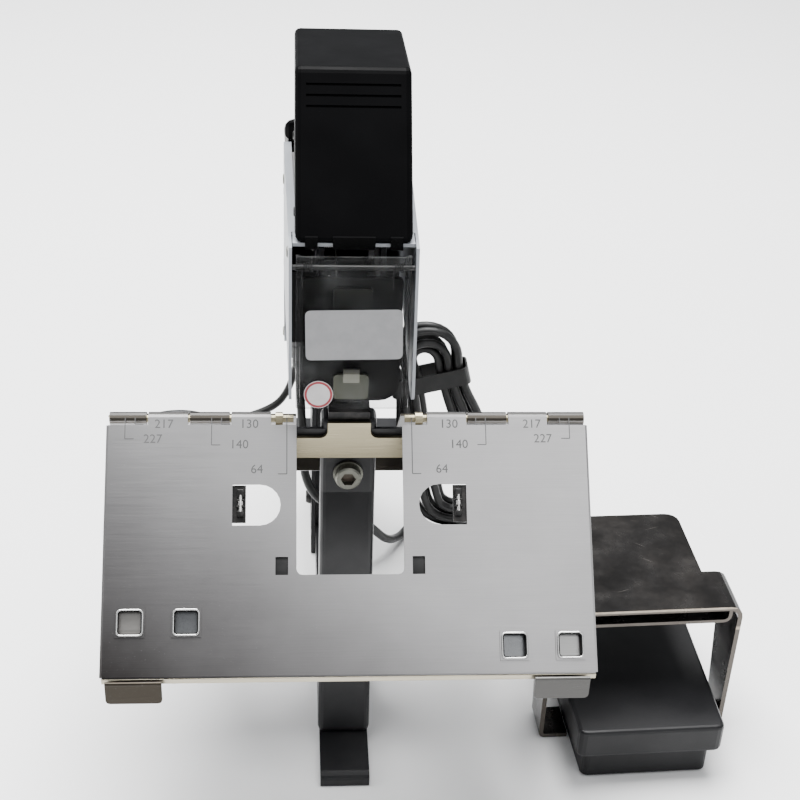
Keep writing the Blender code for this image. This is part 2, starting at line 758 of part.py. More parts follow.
def frame_plate(name, side):
    """One side plate: up the column and forward as the arm that carries the drive."""
    rear = COLUMN_FRONT + COLUMN_DEPTH
    outline = [(COLUMN_FRONT, 0), (rear, 0), (rear, ARM_REAR_TOP),
               (LEVER_PIVOT_REACH + LEVER_BOSS_RADIUS, ARM_PLATE_TOP - GAP),
               (ARM_PLATE_FRONT, ARM_PLATE_TOP),
               (ARM_PLATE_FRONT, ARM_PLATE_BOTTOM),
               (HEAD_PIVOT_REACH - 2 * PIVOT_BOSS_RADIUS, ARM_PLATE_BOTTOM),
               (ARM_SHOULDER, HEAD_PIVOT_HEIGHT - PIVOT_BOSS_RADIUS), (COLUMN_FRONT, CORE_TOP)]
    corners = [0, 0, BOLT_HEAD_RADIUS, BOLT_HEAD_RADIUS, BOLT_HEAD_RADIUS, BOLT_HEAD_RADIUS,
               BOLT_HEAD_RADIUS, BOLT_HEAD_RADIUS, BOLT_HEAD_RADIUS]
    inner, outer = side * (BAR_WIDTH / 2 + GAP), side * (BAR_WIDTH / 2 + GAP + SIDE_PLATE)
    bm = bmesh.new()
    prism(bm, rounded(outline, corners, 3), "X", min(inner, outer), max(inner, outer))
    piece = put(bm, name, "frame_paint")
    for reach, height in ((HEAD_PIVOT_REACH, HEAD_PIVOT_HEIGHT), (LEVER_PIVOT_REACH, LEVER_PIVOT_HEIGHT)):
        bm = bmesh.new()
        rod(bm, "X", (reach, height), PIVOT_PIN_RADIUS + GAP, min(inner, outer) - OVERRUN,
            max(inner, outer) + OVERRUN)
        combine(piece, tool(bm, name + "_pin_hole"))
    if side > 0:
        return
    for reach in (ARM_PLATE_FRONT + SOLENOID_BASE_DEPTH / 2, ARM_SHOULDER):
        bm = bmesh.new()
        height = (LEVER_TOP + ARM_PLATE_TOP) / 2 + GAP
        rod(bm, "X", (reach, height), SPACER_RADIUS, -BAR_WIDTH / 2 - SIDE_PLATE / 2, BAR_WIDTH / 2, 16)
        combine(piece, tool(bm, name + "_spacer"), "UNION")


def table_bracket():
    """The nickel W plate under the ridge, with round lugs and the hinge rods fixed in them."""
    ear_top = RIDGE_HEIGHT - EAR_TOP_DROP
    stem_top = RIDGE_HEIGHT - ANVIL_THICKNESS - GAP
    bar_top = RIDGE_HEIGHT - CROSSBAR_TOP_DROP
    bottom = RIDGE_HEIGHT - CROSSBAR_BOTTOM_DROP
    outline = [(-BRACKET_HALF_WIDTH, bottom), (-BRACKET_HALF_WIDTH, ear_top), (-EAR_INNER, ear_top),
               (-EAR_INNER, bar_top), (-STEM_HALF_WIDTH, bar_top), (-STEM_HALF_WIDTH, stem_top),
               (STEM_HALF_WIDTH, stem_top), (STEM_HALF_WIDTH, bar_top), (EAR_INNER, bar_top),
               (EAR_INNER, ear_top), (BRACKET_HALF_WIDTH, ear_top), (BRACKET_HALF_WIDTH, bottom)]
    soft = NOTCH_CORNER
    bm = bmesh.new()
    prism(bm, rounded(outline, [soft / 2, 0, 0, soft, soft, 0, 0, soft, soft, 0, 0, soft / 2], 4), "Y",
          -BRACKET_FRONT, BRACKET_THICKNESS - BRACKET_FRONT)
    piece = put(bm, "table_bracket", "nickel", smooth=True)
    for side in (-1, 1):
        bm = bmesh.new()
        near, far = side * (BRACKET_HALF_WIDTH - EAR_WIDTH), side * (BRACKET_HALF_WIDTH - GAP)
        lug = [(-BRACKET_FRONT + GAP, bar_top), (-BRACKET_FRONT + GAP, HINGE_HEIGHT)]
        lug += arc((0, HINGE_HEIGHT), EAR_BLOCK_RADIUS, EAR_BLOCK_START, -math.pi / 2, 8)
        lug += [(-BRACKET_FRONT + BRACKET_THICKNESS - GAP, HINGE_HEIGHT - EAR_BLOCK_RADIUS),
                (-BRACKET_FRONT + BRACKET_THICKNESS - GAP, bar_top)]
        prism(bm, lug, "X", min(near, far), max(near, far))
        combine(piece, tool(bm, "bracket_lug"), "UNION")
        bm = bmesh.new()
        ends = sorted((side * EAR_INNER, side * (LEAF_HALF_WIDTH - LEAF_THICKNESS)))
        rod(bm, "X", (0, HINGE_HEIGHT), ROD_RADIUS, ends[0], ends[1], 16)
        combine(piece, tool(bm, "hinge_rod"), "UNION")


def anvil():
    """The dark anvil on the post, with two grooves that turn the staple's legs."""
    front = -BRACKET_FRONT + BRACKET_THICKNESS + GAP
    bm = bmesh.new()
    box(bm, (-STEM_HALF_WIDTH + GAP, front, RIDGE_HEIGHT - ANVIL_THICKNESS),
        (STEM_HALF_WIDTH - GAP, front + ANVIL_DEPTH, RIDGE_HEIGHT))
    piece = put(bm, "anvil", "dark_steel")
    for side in (-1, 1):
        bm = bmesh.new()
        near, far = side * ANVIL_GROOVE_WIDTH / 4, side * ANVIL_GROOVE_LENGTH / 2
        middle = front + ANVIL_DEPTH / 2
        box(bm, (min(near, far), middle - ANVIL_GROOVE_WIDTH / 2, RIDGE_HEIGHT - ANVIL_GROOVE_DEPTH),
            (max(near, far), middle + ANVIL_GROOVE_WIDTH / 2, RIDGE_HEIGHT + OVERRUN))
        combine(piece, tool(bm, "anvil_groove"))


def post_bolt():
    """The socket head bolt with its washer on the post's face."""
    face = -BRACKET_FRONT + BRACKET_THICKNESS
    seat = face - WASHER_THICKNESS
    profile = [(0, face + BOLT_SHANK_LENGTH), (BOLT_SHANK_RADIUS, face + BOLT_SHANK_LENGTH),
               (BOLT_SHANK_RADIUS, face), (WASHER_RADIUS, face), (WASHER_RADIUS, seat),
               (BOLT_HEAD_RADIUS, seat),
               (BOLT_HEAD_RADIUS, seat - BOLT_HEAD_HEIGHT * BOLT_CROWN_HEIGHT_SHARE),
               (BOLT_HEAD_RADIUS * BOLT_CROWN_RADIUS_SHARE, seat - BOLT_HEAD_HEIGHT),
               (0, seat - BOLT_HEAD_HEIGHT)]
    bm = bmesh.new()
    height = RIDGE_HEIGHT - BOLT_DROP
    lathe(bm, "Y", (0, height), profile, 24)
    piece = put(bm, "post_bolt", "bright_steel", smooth=True)
    bm = bmesh.new()
    rod(bm, "Y", (0, height), BOLT_SOCKET_RADIUS, seat - BOLT_HEAD_HEIGHT - OVERRUN,
        seat - BOLT_HEAD_HEIGHT + BOLT_SOCKET_DEPTH, 6)
    combine(piece, tool(bm, "bolt_socket"))


def cut_box(piece, name, x_range, reach_range, direction):
    """Cut a straight-sided window through a leaf; reach is measured from the hinge."""
    bm = bmesh.new()
    ends = sorted((direction * reach_range[0], direction * reach_range[1]))
    box(bm, (min(x_range), ends[0], LEAF_THICKNESS), (max(x_range), ends[1], KNUCKLE_RADIUS + OVERRUN))
    combine(piece, tool(bm, name, piece.location, piece.rotation_euler))


def cut_shape(piece, name, outline):
    """Cut an outline, in the leaf's own plane, through a leaf."""
    bm = bmesh.new()
    prism(bm, outline, "Z", LEAF_THICKNESS, KNUCKLE_RADIUS + OVERRUN)
    combine(piece, tool(bm, name, piece.location, piece.rotation_euler))


def leaf(name, direction, reach, turn, knuckles):
    """One leaf of the table, modelled flat in the frame of its hinge and turned down."""
    under = KNUCKLE_RADIUS - LEAF_THICKNESS
    edge = KNUCKLE_RADIUS + RUNNING_GAP
    wide, top = LEAF_HALF_WIDTH, KNUCKLE_RADIUS
    low = top - SIDE_FLANGE
    bend = LEAF_THICKNESS
    section = [(-wide, low), (-wide, top - bend), (-wide + bend, top), (wide - bend, top),
               (wide, top - bend),
               (wide, low), (wide - LEAF_THICKNESS, low), (wide - LEAF_THICKNESS, under),
               (LEAF_THICKNESS - wide, under), (LEAF_THICKNESS - wide, low)]
    bm = bmesh.new()
    ends = sorted((direction * edge, direction * (reach - LEAF_THICKNESS / 2)))
    prism(bm, section, "Y", ends[0], ends[1])
    piece = put(bm, name, "brushed_steel", (0, 0, HINGE_HEIGHT), (turn, 0, 0))
    place = (piece.location, piece.rotation_euler)
    bm = bmesh.new()
    ends = sorted((direction * reach, direction * (reach - LEAF_THICKNESS)))
    box(bm, (-wide + bend, ends[0], top - FRONT_FLANGE), (wide - bend, ends[1], top - bend / 2))
    combine(piece, tool(bm, name + "_end_flange", *place), "UNION")
    for side in (-1, 1):
        bm = bmesh.new()
        ends = sorted((0, direction * FLANGE_SETBACK))
        x_ends = sorted((side * (wide - 2 * LEAF_THICKNESS), side * (wide + OVERRUN)))
        box(bm, (x_ends[0], ends[0], low - OVERRUN), (x_ends[1], ends[1], under - GAP))
        combine(piece, tool(bm, name + "_flange_relief", *place))
        for near, far in knuckles:
            bm = bmesh.new()
            inner = ROD_RADIUS + GAP
            roll = [(direction * 2 * edge, under + GAP), (direction * 2 * edge, top - GAP),
                    (direction * edge, top)]
            sweep = 3 * math.pi / 2 - ROLL_OPENING
            for step in range(ROLL_STEPS + 1):
                angle = math.pi / 2 + direction * sweep * step / ROLL_STEPS
                roll.append((KNUCKLE_RADIUS * math.cos(angle), KNUCKLE_RADIUS * math.sin(angle)))
            for step in range(ROLL_STEPS, -1, -1):
                angle = math.pi / 2 + direction * sweep * step / ROLL_STEPS
                roll.append((inner * math.cos(angle), inner * math.sin(angle)))
            roll.append((direction * edge, under))
            x_ends = sorted((side * near, side * far))
            prism(bm, roll, "X", x_ends[0], x_ends[1])
            combine(piece, tool(bm, name + "_knuckle", *place), "UNION")
    corner = CUTOUT_CORNER
    half = CUTOUT_HALF_WIDTH
    cut_shape(piece, name + "_cutout", rounded(
        [(-half, 0), (half, 0), (half, direction * CUTOUT_REACH), (-half, direction * CUTOUT_REACH)],
        [0, 0, corner, corner], 3))
    return piece


def front_leaf():
    """The front leaf with its finger holes, slots and four pressed windows."""
    piece = leaf("front_leaf", -1, LEAF_REACH, LEAF_ANGLE, FRONT_KNUCKLES)
    place = (piece.location, piece.rotation_euler)
    for side in (-1, 1):
        flat, near, far = FINGER_HOLE_FLAT, FINGER_HOLE_NEAR, FINGER_HOLE_FAR
        radius = (far - near) / 2
        centre = (FINGER_HOLE_ROUND + radius, near + radius)
        hole = [(flat, near), (flat, far)] + arc(centre, radius, math.pi / 2, 3 * math.pi / 2, 10)
        cut_shape(piece, "finger_hole", [(side * x, -y) for x, y in hole])
        cut_box(piece, "slot", (side * SLOT_INNER, side * SLOT_OUTER), (SLOT_NEAR, CUTOUT_REACH), -1)
        stop_centre = stop_middle(side)
        bm = bmesh.new()
        depth = KNUCKLE_RADIUS - LEAF_THICKNESS - STOP_CLEARANCE
        half = STOP_STRIP_WIDTH / 2 + GAP
        outer = half + GUIDE_RAIL_WALL
        top, low = KNUCKLE_RADIUS - LEAF_THICKNESS / 2, depth - STOP_THICKNESS - GAP - GUIDE_RAIL_WALL
        channel = [(stop_centre - outer, top), (stop_centre - outer, low), (stop_centre + outer, low),
                   (stop_centre + outer, top), (stop_centre + half, top),
                   (stop_centre + half, low + GUIDE_RAIL_WALL),
                   (stop_centre - half, low + GUIDE_RAIL_WALL), (stop_centre - half, top)]
        prism(bm, channel, "Y", -GUIDE_RAIL_REACH - GUIDE_RAIL_LENGTH, -GUIDE_RAIL_REACH)
        combine(piece, tool(bm, "stop_guide", *place), "UNION")
        bm = bmesh.new()
        box(bm, (stop_centre - half, -LEAF_REACH - OVERRUN, depth - STOP_THICKNESS - 2 * GAP),
            (stop_centre + half, -LEAF_REACH + LEAF_THICKNESS + OVERRUN, depth + 2 * GAP))
        combine(piece, tool(bm, "stop_slot", *place))
    windows = [(x, LEFT_WINDOWS_REACH) for x in LEFT_WINDOWS]
    windows += [(x, RIGHT_WINDOWS_REACH) for x in RIGHT_WINDOWS]
    for x, reach in windows:
        bm = bmesh.new()
        half = WINDOW_SIZE / 2 + WINDOW_RIM
        box(bm, (x - half, -reach - half, KNUCKLE_RADIUS - LEAF_THICKNESS / 2),
            (x + half, -reach + half, KNUCKLE_RADIUS + WINDOW_RIM_HEIGHT))
        combine(piece, tool(bm, "window_rim", *place), "UNION")
        half = WINDOW_SIZE / 2
        corners = [(x - half, -reach - half), (x + half, -reach - half), (x + half, -reach + half),
                   (x - half, -reach + half)]
        cut_shape(piece, "window", rounded(corners, WINDOW_CORNER, 2))


def rear_leaf():
    """The rear leaf, folded down behind the ridge."""
    leaf("rear_leaf", 1, REAR_LEAF_REACH, -LEAF_ANGLE, REAR_KNUCKLES)


def stop_middle(side):
    """Where the middle of a paper stop lies along the leaf's edge."""
    shift = RIGHT_STOP_SHIFT if side > 0 else 0
    return side * (STOP_INNER + STOP_WIDTH / 2) - shift


def paper_stop(name, side):
    """A sliding paper stop: a strip under the leaf with an upright lip in front of its edge."""
    middle = stop_middle(side)
    depth = KNUCKLE_RADIUS - LEAF_THICKNESS - STOP_CLEARANCE
    reach = LEAF_REACH + STOP_LIP_HEIGHT * STOP_LIP_REACH_SHARE
    bm = bmesh.new()
    half = STOP_STRIP_WIDTH / 2
    box(bm, (middle - half, -reach, depth - STOP_THICKNESS),
        (middle + half, STOP_LENGTH - reach, depth))
    piece = put(bm, name, "brushed_steel", (0, 0, HINGE_HEIGHT), (LEAF_ANGLE, 0, 0))
    turn = math.cos(LEAF_ANGLE)
    face_y = -(reach * turn) + depth * -turn + STOP_THICKNESS / 2
    face_z = HINGE_HEIGHT - reach * turn + depth * turn
    top = face_z + STOP_LIP_HEIGHT * STOP_LIP_RISE_SHARE
    bottom = top - STOP_LIP_HEIGHT
    wide = STOP_WIDTH / 2
    outline = [(middle - wide, bottom), (middle + wide, bottom), (middle + wide, top), (middle - wide, top)]
    bm = bmesh.new()
    prism(bm, rounded(outline, [STOP_RETURN, STOP_RETURN, 0, 0], 3), "Y", face_y - STOP_THICKNESS, face_y)
    combine(piece, tool(bm, name + "_lip"), "UNION")
    bm = bmesh.new()
    rod(bm, "X", (face_y, top), STOP_RETURN / 2, middle - wide, middle + wide, 12)
    combine(piece, tool(bm, name + "_roll"), "UNION")


def catch(name, side):
    """A small catch behind a finger hole: a bent bracket with a bright pin."""
    top = KNUCKLE_RADIUS - LEAF_THICKNESS - GAP
    near, far = CATCH_REACH - CATCH_LENGTH / 2, CATCH_REACH + CATCH_LENGTH / 2
    inner, outer = CATCH_X - CATCH_WIDTH / 2, CATCH_X + CATCH_WIDTH
    outline = [(side * inner, top - CATCH_WALL), (side * inner, top), (side * outer, top),
               (side * outer, top - CATCH_HEIGHT), (side * (outer - CATCH_WALL), top - CATCH_HEIGHT),
               (side * (outer - CATCH_WALL), top - CATCH_WALL)]
    bm = bmesh.new()
    prism(bm, outline, "Y", -far, -near)
    piece = put(bm, name, "dark_steel", (0, 0, HINGE_HEIGHT), (LEAF_ANGLE, 0, 0))
    bm = bmesh.new()
    rod(bm, "Z", (side * (CATCH_X - CATCH_WIDTH / 8), -CATCH_REACH), CATCH_PIN_RADIUS, top - CATCH_WALL / 2,
        top - GAP + CATCH_PIN_LENGTH / 2, 16)
    combine(piece, tool(bm, name + "_pin", piece.location, piece.rotation_euler), "UNION")


def side_shell(name, side):
    """A light painted side shell: flares to the rear body, with its top edge turned in."""
    def wall_at(reach):
        share = min(1, max(0, (reach + GUARD_PIN_REACH) / (SHELL_FLARE_END + GUARD_PIN_REACH)))
        return SHELL_FRONT_HALF + (SHELL_REAR_HALF - SHELL_FRONT_HALF) * share

    def section(reach, inner, low, high):
        outer = side * wall_at(reach)
        return [(outer, reach, low), (outer, reach, high), (outer - side * inner, reach, high),
                (outer - side * inner, reach, low)]

    bm = bmesh.new()
    stations = (-SHELL_FRONT_BOTTOM_REACH - OVERRUN, -GUARD_PIN_REACH, SHELL_FLARE_END,
                SHELL_REAR + OVERRUN)
    loft(bm, [section(y, SHELL_WALL, REAR_BODY_BOTTOM - OVERRUN, SHELL_TOP) for y in stations])
    piece = put(bm, name, "shell_paint")
    bm = bmesh.new()
    start = LIP_DEPTH - LIP_REACH + GAP
    loft(bm, [section(y, SHELL_WALL + SHELL_LIP, SHELL_TOP - SHELL_WALL, SHELL_TOP)
              for y in (start, SHELL_FLARE_END + OVERRUN)])
    combine(piece, tool(bm, name + "_lip"), "UNION")
    fall = (SHELL_REAR_TOP - SHELL_TOP) / (SHELL_REAR - SHELL_FLARE_END)
    lean = (SHELL_FRONT_BOTTOM_REACH - SHELL_FRONT_TOP_REACH) / (SHELL_TOP - CHEEK_BOTTOM)
    outline = [(-SHELL_FRONT_TOP_REACH + lean * OVERRUN, SHELL_TOP + OVERRUN),
               (-SHELL_FRONT_BOTTOM_REACH, CHEEK_BOTTOM), (SHELL_FLARE_END, CHEEK_BOTTOM),
               (REAR_BODY_STEP, REAR_BODY_BOTTOM), (SHELL_REAR, REAR_BODY_BOTTOM),
               (SHELL_REAR, SHELL_REAR_TOP),
               (SHELL_FLARE_END + OVERRUN / fall, SHELL_TOP + OVERRUN)]
    bm = bmesh.new()
    corner = FOOT_CORNER
    prism(bm, rounded(outline, [0, corner, corner, corner, corner, 0, 0], 4), "X",
          min(0, side * 2 * SHELL_REAR_HALF), max(0, side * 2 * SHELL_REAR_HALF))
    combine(piece, tool(bm, name + "_side_shape"), "INTERSECT")


def shell_lip():
    """The light strip across the front between the two shells."""
    bm = bmesh.new()
    half = SHELL_FRONT_HALF - SHELL_WALL - GAP
    box(bm, (-half, -LIP_REACH, SHELL_TOP - LIP_THICKNESS), (half, LIP_DEPTH - LIP_REACH, SHELL_TOP))
    put(bm, "shell_lip", "shell_paint")


def head_cover():
    """The tall black cover over the solenoid, with louvre grooves and hooked tabs."""
    outline = [(-HEAD_BASE_REACH, HEAD_BASE), (HEAD_BROW, HEAD_BROW_HEIGHT), (HEAD_BACK, HEAD_BACK_HEIGHT),
               (HEAD_BACK, HEAD_BASE)]
    bm = bmesh.new()
    prism(bm, outline, "X", -HEAD_HALF_WIDTH, HEAD_HALF_WIDTH)
    piece = put(bm, "head_cover", "cover_plastic", smooth=True)
    soften(piece, HEAD_EDGE, 3)
    inner = inset(outline, HEAD_WALL)
    slope = (inner[1][0] - inner[0][0]) / (inner[1][1] - inner[0][1])
    down = HEAD_BASE - OVERRUN
    inner[0] = (inner[0][0] + slope * (down - inner[0][1]), down)
    inner[3] = (inner[3][0], down)
    bm = bmesh.new()
    prism(bm, inner, "X", HEAD_WALL - HEAD_HALF_WIDTH, HEAD_HALF_WIDTH - HEAD_WALL)
    combine(piece, tool(bm, "head_cover_inside"))
    face = (Vector(outline[0]) - Vector(outline[1])).normalized()
    out = Vector((-face.y, face.x)) * (-1 if face.x > 0 else 1)
    if out.x > 0:
        out = -out
    for index in range(LOUVRE_COUNT):
        middle = Vector(outline[1]) + face * (LOUVRE_FIRST + LOUVRE_PITCH * index)
        half = face * LOUVRE_WIDTH / 2
        groove = [middle - half - out * LOUVRE_DEPTH, middle + half - out * LOUVRE_DEPTH,
                  middle + half + out * OVERRUN, middle - half + out * OVERRUN]
        bm = bmesh.new()
        prism(bm, groove, "X", -LOUVRE_HALF_WIDTH, LOUVRE_HALF_WIDTH)
        combine(piece, tool(bm, "louvre"))
    tabs = ((-TAB_SIDE_OUTER, -TAB_SIDE_INNER), (-TAB_MIDDLE_HALF, TAB_MIDDLE_HALF),
            (TAB_SIDE_INNER, TAB_SIDE_OUTER))
    for left, right in tabs:
        bm = bmesh.new()
        front = -HEAD_BASE_REACH + GAP
        box(bm, (left, front, HEAD_BASE - TAB_HEIGHT),
            (right, front + TAB_THICKNESS, HEAD_BASE + HEAD_WALL * TAB_ROOT_SHARE))
        combine(piece, tool(bm, "cover_tab"), "UNION")


def rear_cover():
    """The black cover over the rear body, sloping down to the back."""
    front = HEAD_BACK + GAP
    fall = (SHELL_REAR_TOP - SHELL_TOP) / (SHELL_REAR - SHELL_FLARE_END)
    outline = [(front, SHELL_TOP + 2 * GAP), (front, REAR_COVER_TOP), (SHELL_REAR, REAR_COVER_END_TOP),
               (SHELL_REAR, SHELL_REAR_TOP + 2 * GAP)]
    half = SHELL_REAR_HALF - GAP
    bm = bmesh.new()
    prism(bm, outline, "X", -half, half)
    piece = put(bm, "rear_cover", "cover_plastic", smooth=True)
    soften(piece, REAR_COVER_EDGE, 3, math.radians(70))
    inner = inset(outline, REAR_COVER_WALL)
    down = 2 * REAR_COVER_WALL
    inner[0] = (inner[0][0], inner[0][1] - down)
    inner[3] = (inner[3][0], inner[3][1] - down)
    bm = bmesh.new()
    prism(bm, inner, "X", REAR_COVER_WALL - half, half - REAR_COVER_WALL)
    combine(piece, tool(bm, "rear_cover_inside"))


def rear_panel():
    """The panel that closes the back, with a rim for the switch and holes for knob and gland."""
    half = SHELL_REAR_HALF - SHELL_WALL - GAP
    front = SHELL_REAR - REAR_PANEL_WALL
    low, high = REAR_BODY_BOTTOM + LIP_THICKNESS + 2 * GAP, SHELL_REAR_TOP - GAP
    bm = bmesh.new()
    box(bm, (-half, front, low), (half, SHELL_REAR, high))
    piece = put(bm, "rear_panel", "cover_plastic")
    bm = bmesh.new()
    wide, tall = SWITCH_WIDTH / 2 + SWITCH_BEZEL, SWITCH_TALL / 2 + SWITCH_BEZEL
    x = CONTROL_OFFSET
    box(bm, (x - wide, front + GAP, SWITCH_HEIGHT - tall),
        (x + wide, SHELL_REAR + SWITCH_BEZEL, SWITCH_HEIGHT + tall))
    combine(piece, tool(bm, "switch_bezel"), "UNION")
    bm = bmesh.new()
    wide, tall = SWITCH_WIDTH / 2, SWITCH_TALL / 2
    box(bm, (x - wide, front - OVERRUN, SWITCH_HEIGHT - tall),
        (x + wide, SHELL_REAR + SWITCH_BEZEL + OVERRUN, SWITCH_HEIGHT + tall))
    combine(piece, tool(bm, "switch_hole"))
    for place, radius in (((-x, KNOB_HEIGHT), KNOB_SHAFT_RADIUS + GAP),
                          ((-x, MAINS_GLAND_HEIGHT), GLAND_RADIUS + GAP)):
        bm = bmesh.new()
        rod(bm, "Y", place, radius, front - OVERRUN, SHELL_REAR + OVERRUN)
        combine(piece, tool(bm, "panel_hole"))


def power_rocker():
    """The rocker of the power switch, tilted to off, turning on an axis across the panel."""
    wide, tall = SWITCH_WIDTH / 2 - RUNNING_GAP, SWITCH_TALL / 2 - RUNNING_GAP * ROCKER_END_GAPS
    rise = SWITCH_BEZEL + RUNNING_GAP
    crest = rise * ROCKER_CREST_SHARE
    bm = bmesh.new()
    outline = [(-rise, -tall), (crest, -tall), (rise, 0), (crest, tall), (-rise, tall)]
    prism(bm, outline, "X", -wide, wide)
    put(bm, "power_rocker", "switch_red", (CONTROL_OFFSET, SHELL_REAR, SWITCH_HEIGHT), (ROCKER_TILT, 0, 0))


def force_knob():
    """The fluted knob that sets the stroke force, on its shaft through the panel."""
    outline = []
    for step in range(2 * KNOB_FLUTES):
        angle = math.pi * step / KNOB_FLUTES
        radius = KNOB_RADIUS if step % 2 else KNOB_RADIUS - RUNNING_GAP
        outline.append((radius * math.cos(angle), radius * math.sin(angle)))
    bm = bmesh.new()
    prism(bm, outline, "Y", GAP, KNOB_LENGTH)
    piece = put(bm, "force_knob", "cover_plastic", (-CONTROL_OFFSET, SHELL_REAR, KNOB_HEIGHT))
    bm = bmesh.new()
    rod(bm, "Y", (0, 0), KNOB_SHAFT_RADIUS, -2 * REAR_PANEL_WALL, KNOB_LENGTH / 2, 16)
    combine(piece, tool(bm, "knob_shaft", piece.location), "UNION")
    bm = bmesh.new()
    box(bm, (-LOUVRE_WIDTH / 2, KNOB_LENGTH - LOUVRE_DEPTH, 0),
        (LOUVRE_WIDTH / 2, KNOB_LENGTH + OVERRUN, KNOB_RADIUS))
    combine(piece, tool(bm, "knob_mark", piece.location))


def belly_plate():
    """The bent plate that closes the rear body below, cut out round the column."""
    half = SHELL_REAR_HALF - SHELL_WALL - GAP
    path = [(SHELL_REAR - GAP, REAR_BODY_BOTTOM + GAP), (REAR_BODY_STEP + GAP, REAR_BODY_BOTTOM + GAP),
            (SHELL_FLARE_END + SHELL_WALL, CHEEK_BOTTOM)]
    bm = bmesh.new()
    prism(bm, strip_outline(list(reversed(path)), LIP_THICKNESS), "X", -half, half)
    piece = put(bm, "belly_plate", "cover_plastic")
    notch = BAR_WIDTH / 2 + GAP + SIDE_PLATE + RUNNING_GAP
    bm = bmesh.new()
    box(bm, (-notch, COLUMN_FRONT - LIP_THICKNESS, REAR_BODY_BOTTOM - OVERRUN),
        (notch, COLUMN_FRONT + COLUMN_DEPTH + RUNNING_GAP, REAR_BODY_BOTTOM + SHELL_LIP * BELLY_CUT_SHARE))
    combine(piece, tool(bm, "belly_notch"))
    bm = bmesh.new()
    rod(bm, "Z", (PEDAL_GLAND_X, PEDAL_GLAND_Y), GLAND_RADIUS + GAP, REAR_BODY_BOTTOM - OVERRUN,
        REAR_BODY_BOTTOM + SHELL_LIP * BELLY_CUT_SHARE)
    combine(piece, tool(bm, "belly_hole"))


def gland(name, pivot, turn):
    """A cord gland: a shank through the wall, a six-sided nut and a ribbed boot round the cord."""
    bm = bmesh.new()
    bore = CORD_RADIUS + GAP
    profile = [(bore, -GLAND_NUT), (GLAND_RADIUS, -GLAND_NUT), (GLAND_RADIUS, GAP),
               (GLAND_RADIUS * GLAND_FLANGE_SHARE, GAP),
               (GLAND_RADIUS * GLAND_FLANGE_SHARE, GLAND_NUT)]
    for step in range(GLAND_RIBS):
        share = step / GLAND_RIBS
        radius = CORD_BOOT_RADIUS + (CORD_RADIUS + 2 * GAP - CORD_BOOT_RADIUS) * share * GLAND_TAPER_SHARE
        level = GLAND_NUT + (GLAND_LENGTH - GLAND_NUT) * share
        profile += [(radius, level + GAP), (radius, level + (GLAND_LENGTH - GLAND_NUT) * GLAND_RIB_SHARE),
                    (radius - 3 * GAP, level + (GLAND_LENGTH - GLAND_NUT) * GLAND_GROOVE_SHARE)]
    profile += [(CORD_RADIUS + 3 * GAP, GLAND_LENGTH), (bore, GLAND_LENGTH)]
    lathe(bm, "Z", (0, 0), profile, 16, True)
    put(bm, name, "black_rubber", pivot, turn, smooth=True)


def solenoid_frame():
    """The steel frame round the winding: base plate on the arm, with the yoke standing on it."""
    bottom = ARM_PLATE_TOP + GAP
    top = bottom + SOLENOID_BASE_THICKNESS
    share = (SOLENOID_REACH - SOLENOID_BASE_DEPTH / 2) / SHELL_FLARE_END
    half = SHELL_FRONT_HALF + (SHELL_REAR_HALF - SHELL_FRONT_HALF) * share - SHELL_WALL - GAP
    bm = bmesh.new()
    box(bm, (-half, SOLENOID_REACH - SOLENOID_BASE_DEPTH / 2, bottom),
        (half, SOLENOID_REACH + SOLENOID_BASE_DEPTH / 2, top))
    piece = put(bm, "solenoid_frame", "brushed_steel")
    wide, wall = YOKE_HALF_WIDTH, YOKE_WALL
    roof = top + YOKE_HEIGHT
    outline = [(-wide, top - wall / 4), (-wide, roof), (wide, roof), (wide, top - wall / 4),
               (wide - wall, top - wall / 4), (wide - wall, roof - wall), (wall - wide, roof - wall),
               (wall - wide, top - wall / 4)]
    bm = bmesh.new()
    prism(bm, outline, "Y", SOLENOID_REACH - YOKE_DEPTH / 2, SOLENOID_REACH + YOKE_DEPTH / 2)
    combine(piece, tool(bm, "yoke_shape"), "UNION")
    bm = bmesh.new()
    rod(bm, "Z", (0, SOLENOID_REACH), PLUNGER_RADIUS + RUNNING_GAP, bottom - OVERRUN, top + OVERRUN, 24)
    combine(piece, tool(bm, "plunger_hole"))


def bobbin_and_winding():
    """The bobbin inside the yoke and the copper winding between its flanges."""
    low = ARM_PLATE_TOP + SOLENOID_BASE_THICKNESS + 2 * GAP
    high = low + YOKE_HEIGHT - YOKE_WALL - 2 * GAP
    bore = PLUNGER_RADIUS + RUNNING_GAP
    profile = [(bore, low), (BOBBIN_RADIUS, low), (BOBBIN_RADIUS, low + BOBBIN_FLANGE),
               (BOBBIN_TUBE_RADIUS, low + BOBBIN_FLANGE), (BOBBIN_TUBE_RADIUS, high - BOBBIN_FLANGE),
               (BOBBIN_RADIUS, high - BOBBIN_FLANGE), (BOBBIN_RADIUS, high), (bore, high)]
    bm = bmesh.new()
    lathe(bm, "Z", (0, SOLENOID_REACH), profile, 24, True)
    put(bm, "coil_bobbin", "cover_plastic", smooth=True)
    bm = bmesh.new()
    pipe(bm, "Z", (0, SOLENOID_REACH), WINDING_RADIUS, BOBBIN_TUBE_RADIUS + GAP, low + BOBBIN_FLANGE + GAP,
         high - BOBBIN_FLANGE - GAP, 24)
    put(bm, "coil_winding", "copper", smooth=True)


